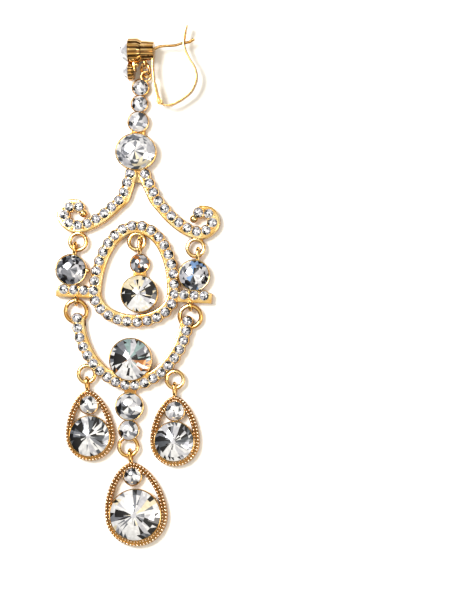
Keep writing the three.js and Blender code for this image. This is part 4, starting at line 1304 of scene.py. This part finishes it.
def head_setting():
    front = clasp_line([(-0.16, 0.93), (-0.192, 0.66), (-0.147, 0.322), (-0.085, 0.12)], 24)
    foot = clasp_line([(-0.147, 0.322), (-0.085, 0.12)]) + [PIVOT]
    rise_large = 2.45
    rise_small = rise_large - head_large["radius"] - head_small["radius"] + 0.3
    back_x = FRONT + head_small["rim"]
    boss_length = front[0][0] + 3.3 - head_large["rim"] + 0.3
    boss = fluted([(0, 0), (1.95, 0), (2.05, 0.15), (1.85, boss_length - 0.1), (1.75, boss_length),
                   (0, boss_length)], 72, 12, 0.07)
    backing = swept([(back_x, rise_small), (back_x, rise_large)], rounded(-0.3, 0.3, 1.5, 3.7, 0.1))
    wire = clasp_line([(-0.17, 0.9), (-0.013, 0.949), (0.413, 0.966), (0.6, 1), (0.787, 1.017),
                       (0.92, 1.068)], 40)
    # The front strip and the ear wire carry an even brown painted shade.
    shells = [
        paint_shade_and_highlight(strip(front, 1.4), lambda c: 0.3), paint_shade_and_highlight(round_wire(wire, 0.6), lambda c: 0.35), backing,
        moved(boss, front[0][0] - boss_length, rise_large, HEAD_Z, Matrix.Rotation(math.pi / 2, 3, "Y")),
        moved(link(2.45, 0.55), 0, 0, RING_Z + 0.9, ON_EDGE),
        bead(1.5, -2.4, 0.7, HEAD_Z + 1.1), bead(1.0, -1.5, -0.5, HEAD_Z + 0.9),
        disc(0.5, 1.8, HEAD_Z - 0.9),
    ]
    for low in (HEAD_Z - 0.9, HEAD_Z + 0.55):
        shells.append(swept(foot, rounded(-0.35, 0.35, low, low + 0.35, 0.06)))
        shells.append(disc(1.2, 0.35, low))
    fused = solder("head_setting", shells)
    cups = [forward(head_cup(head_large), head_large, rise_large),
            forward(head_cup(head_small), head_small, rise_small)]
    fused = solder("head_setting", [fused] + cups)
    holes = [forward(pocket(head_large), head_large, rise_large),
             forward(pocket(head_small), head_small, rise_small)]
    return hollowed("head_setting", fused, holes), rise_large, rise_small


head_mesh, rise_large, rise_small = head_setting()
lay("head_setting", head_mesh, head_place, "earring")
# The head's stones take painted reflections by direction too.
for name, sizes, y in (("large", head_large, rise_large), ("small", head_small, rise_small)):
    stone = stone_for(f"head_{name}", sizes, "pale slate white dark grey pale".split(),
                      100 + len(name), sides=8, rings=3)
    lay(f"head_stone_{name}", forward(stone, sizes, y), head_place, "earring")

# %% [markdown]
# The lever
# The lever is a strip bent to a hook, with a slot for the ear wire at its top and a barrel on the
# pin at its foot. A brown painted shade lies over it, deepest at the lower bend.

# %% Make the lever
LEVER_PATH = [
    (0.12, -0.06), (0.253, -0.068), (0.413, -0.034), (0.627, 0.042), (0.84, 0.153), (0.947, 0.271),
    (1, 0.407), (0.947, 0.576), (0.787, 0.746), (0.68, 0.898), (0.653, 1), (0.68, 1.169),
    (0.733, 1.305),
]


def lever():
    barrel = 1.8 - 0.7 - 0.2
    fused = solder("clasp_lever", [
        strip(clasp_line(LEVER_PATH, 70), 1.8),
        strip([PIVOT] + clasp_line(LEVER_PATH[:2]), barrel),
        disc(1.2, barrel, HEAD_Z - barrel / 2)])
    slot_x = PIVOT[0] + 0.665 * REACH
    slot_low, slot_high = (PIVOT[1] + share * CLASP_HEIGHT for share in (0.955, 1.18))
    section = rounded(-0.8, 0.8, HEAD_Z - 0.45, HEAD_Z + 0.45, 0.1)
    slot = swept([(slot_x, slot_low), (slot_x, slot_high)], section)
    return hollowed("clasp_lever", fused, [disc(0.7, 5, HEAD_Z - 2.5), slot])


# Painted shade: brown over the whole lever, deepest at its lower bend.
lay("clasp_lever", paint_shade_and_highlight(lever(), lambda c: 0.3 + 0.35 * math.exp(-((c.y + 4) / 4.5) ** 2)
                        * min(1, max(0, c.x - 4.5) / 4)), head_place, "lever")

# %% [markdown]
# Finish
# The tools that the trees used are taken away.

# %% Take away the tools
for tool in TOOLS.values():
    bpy.data.objects.remove(tool)
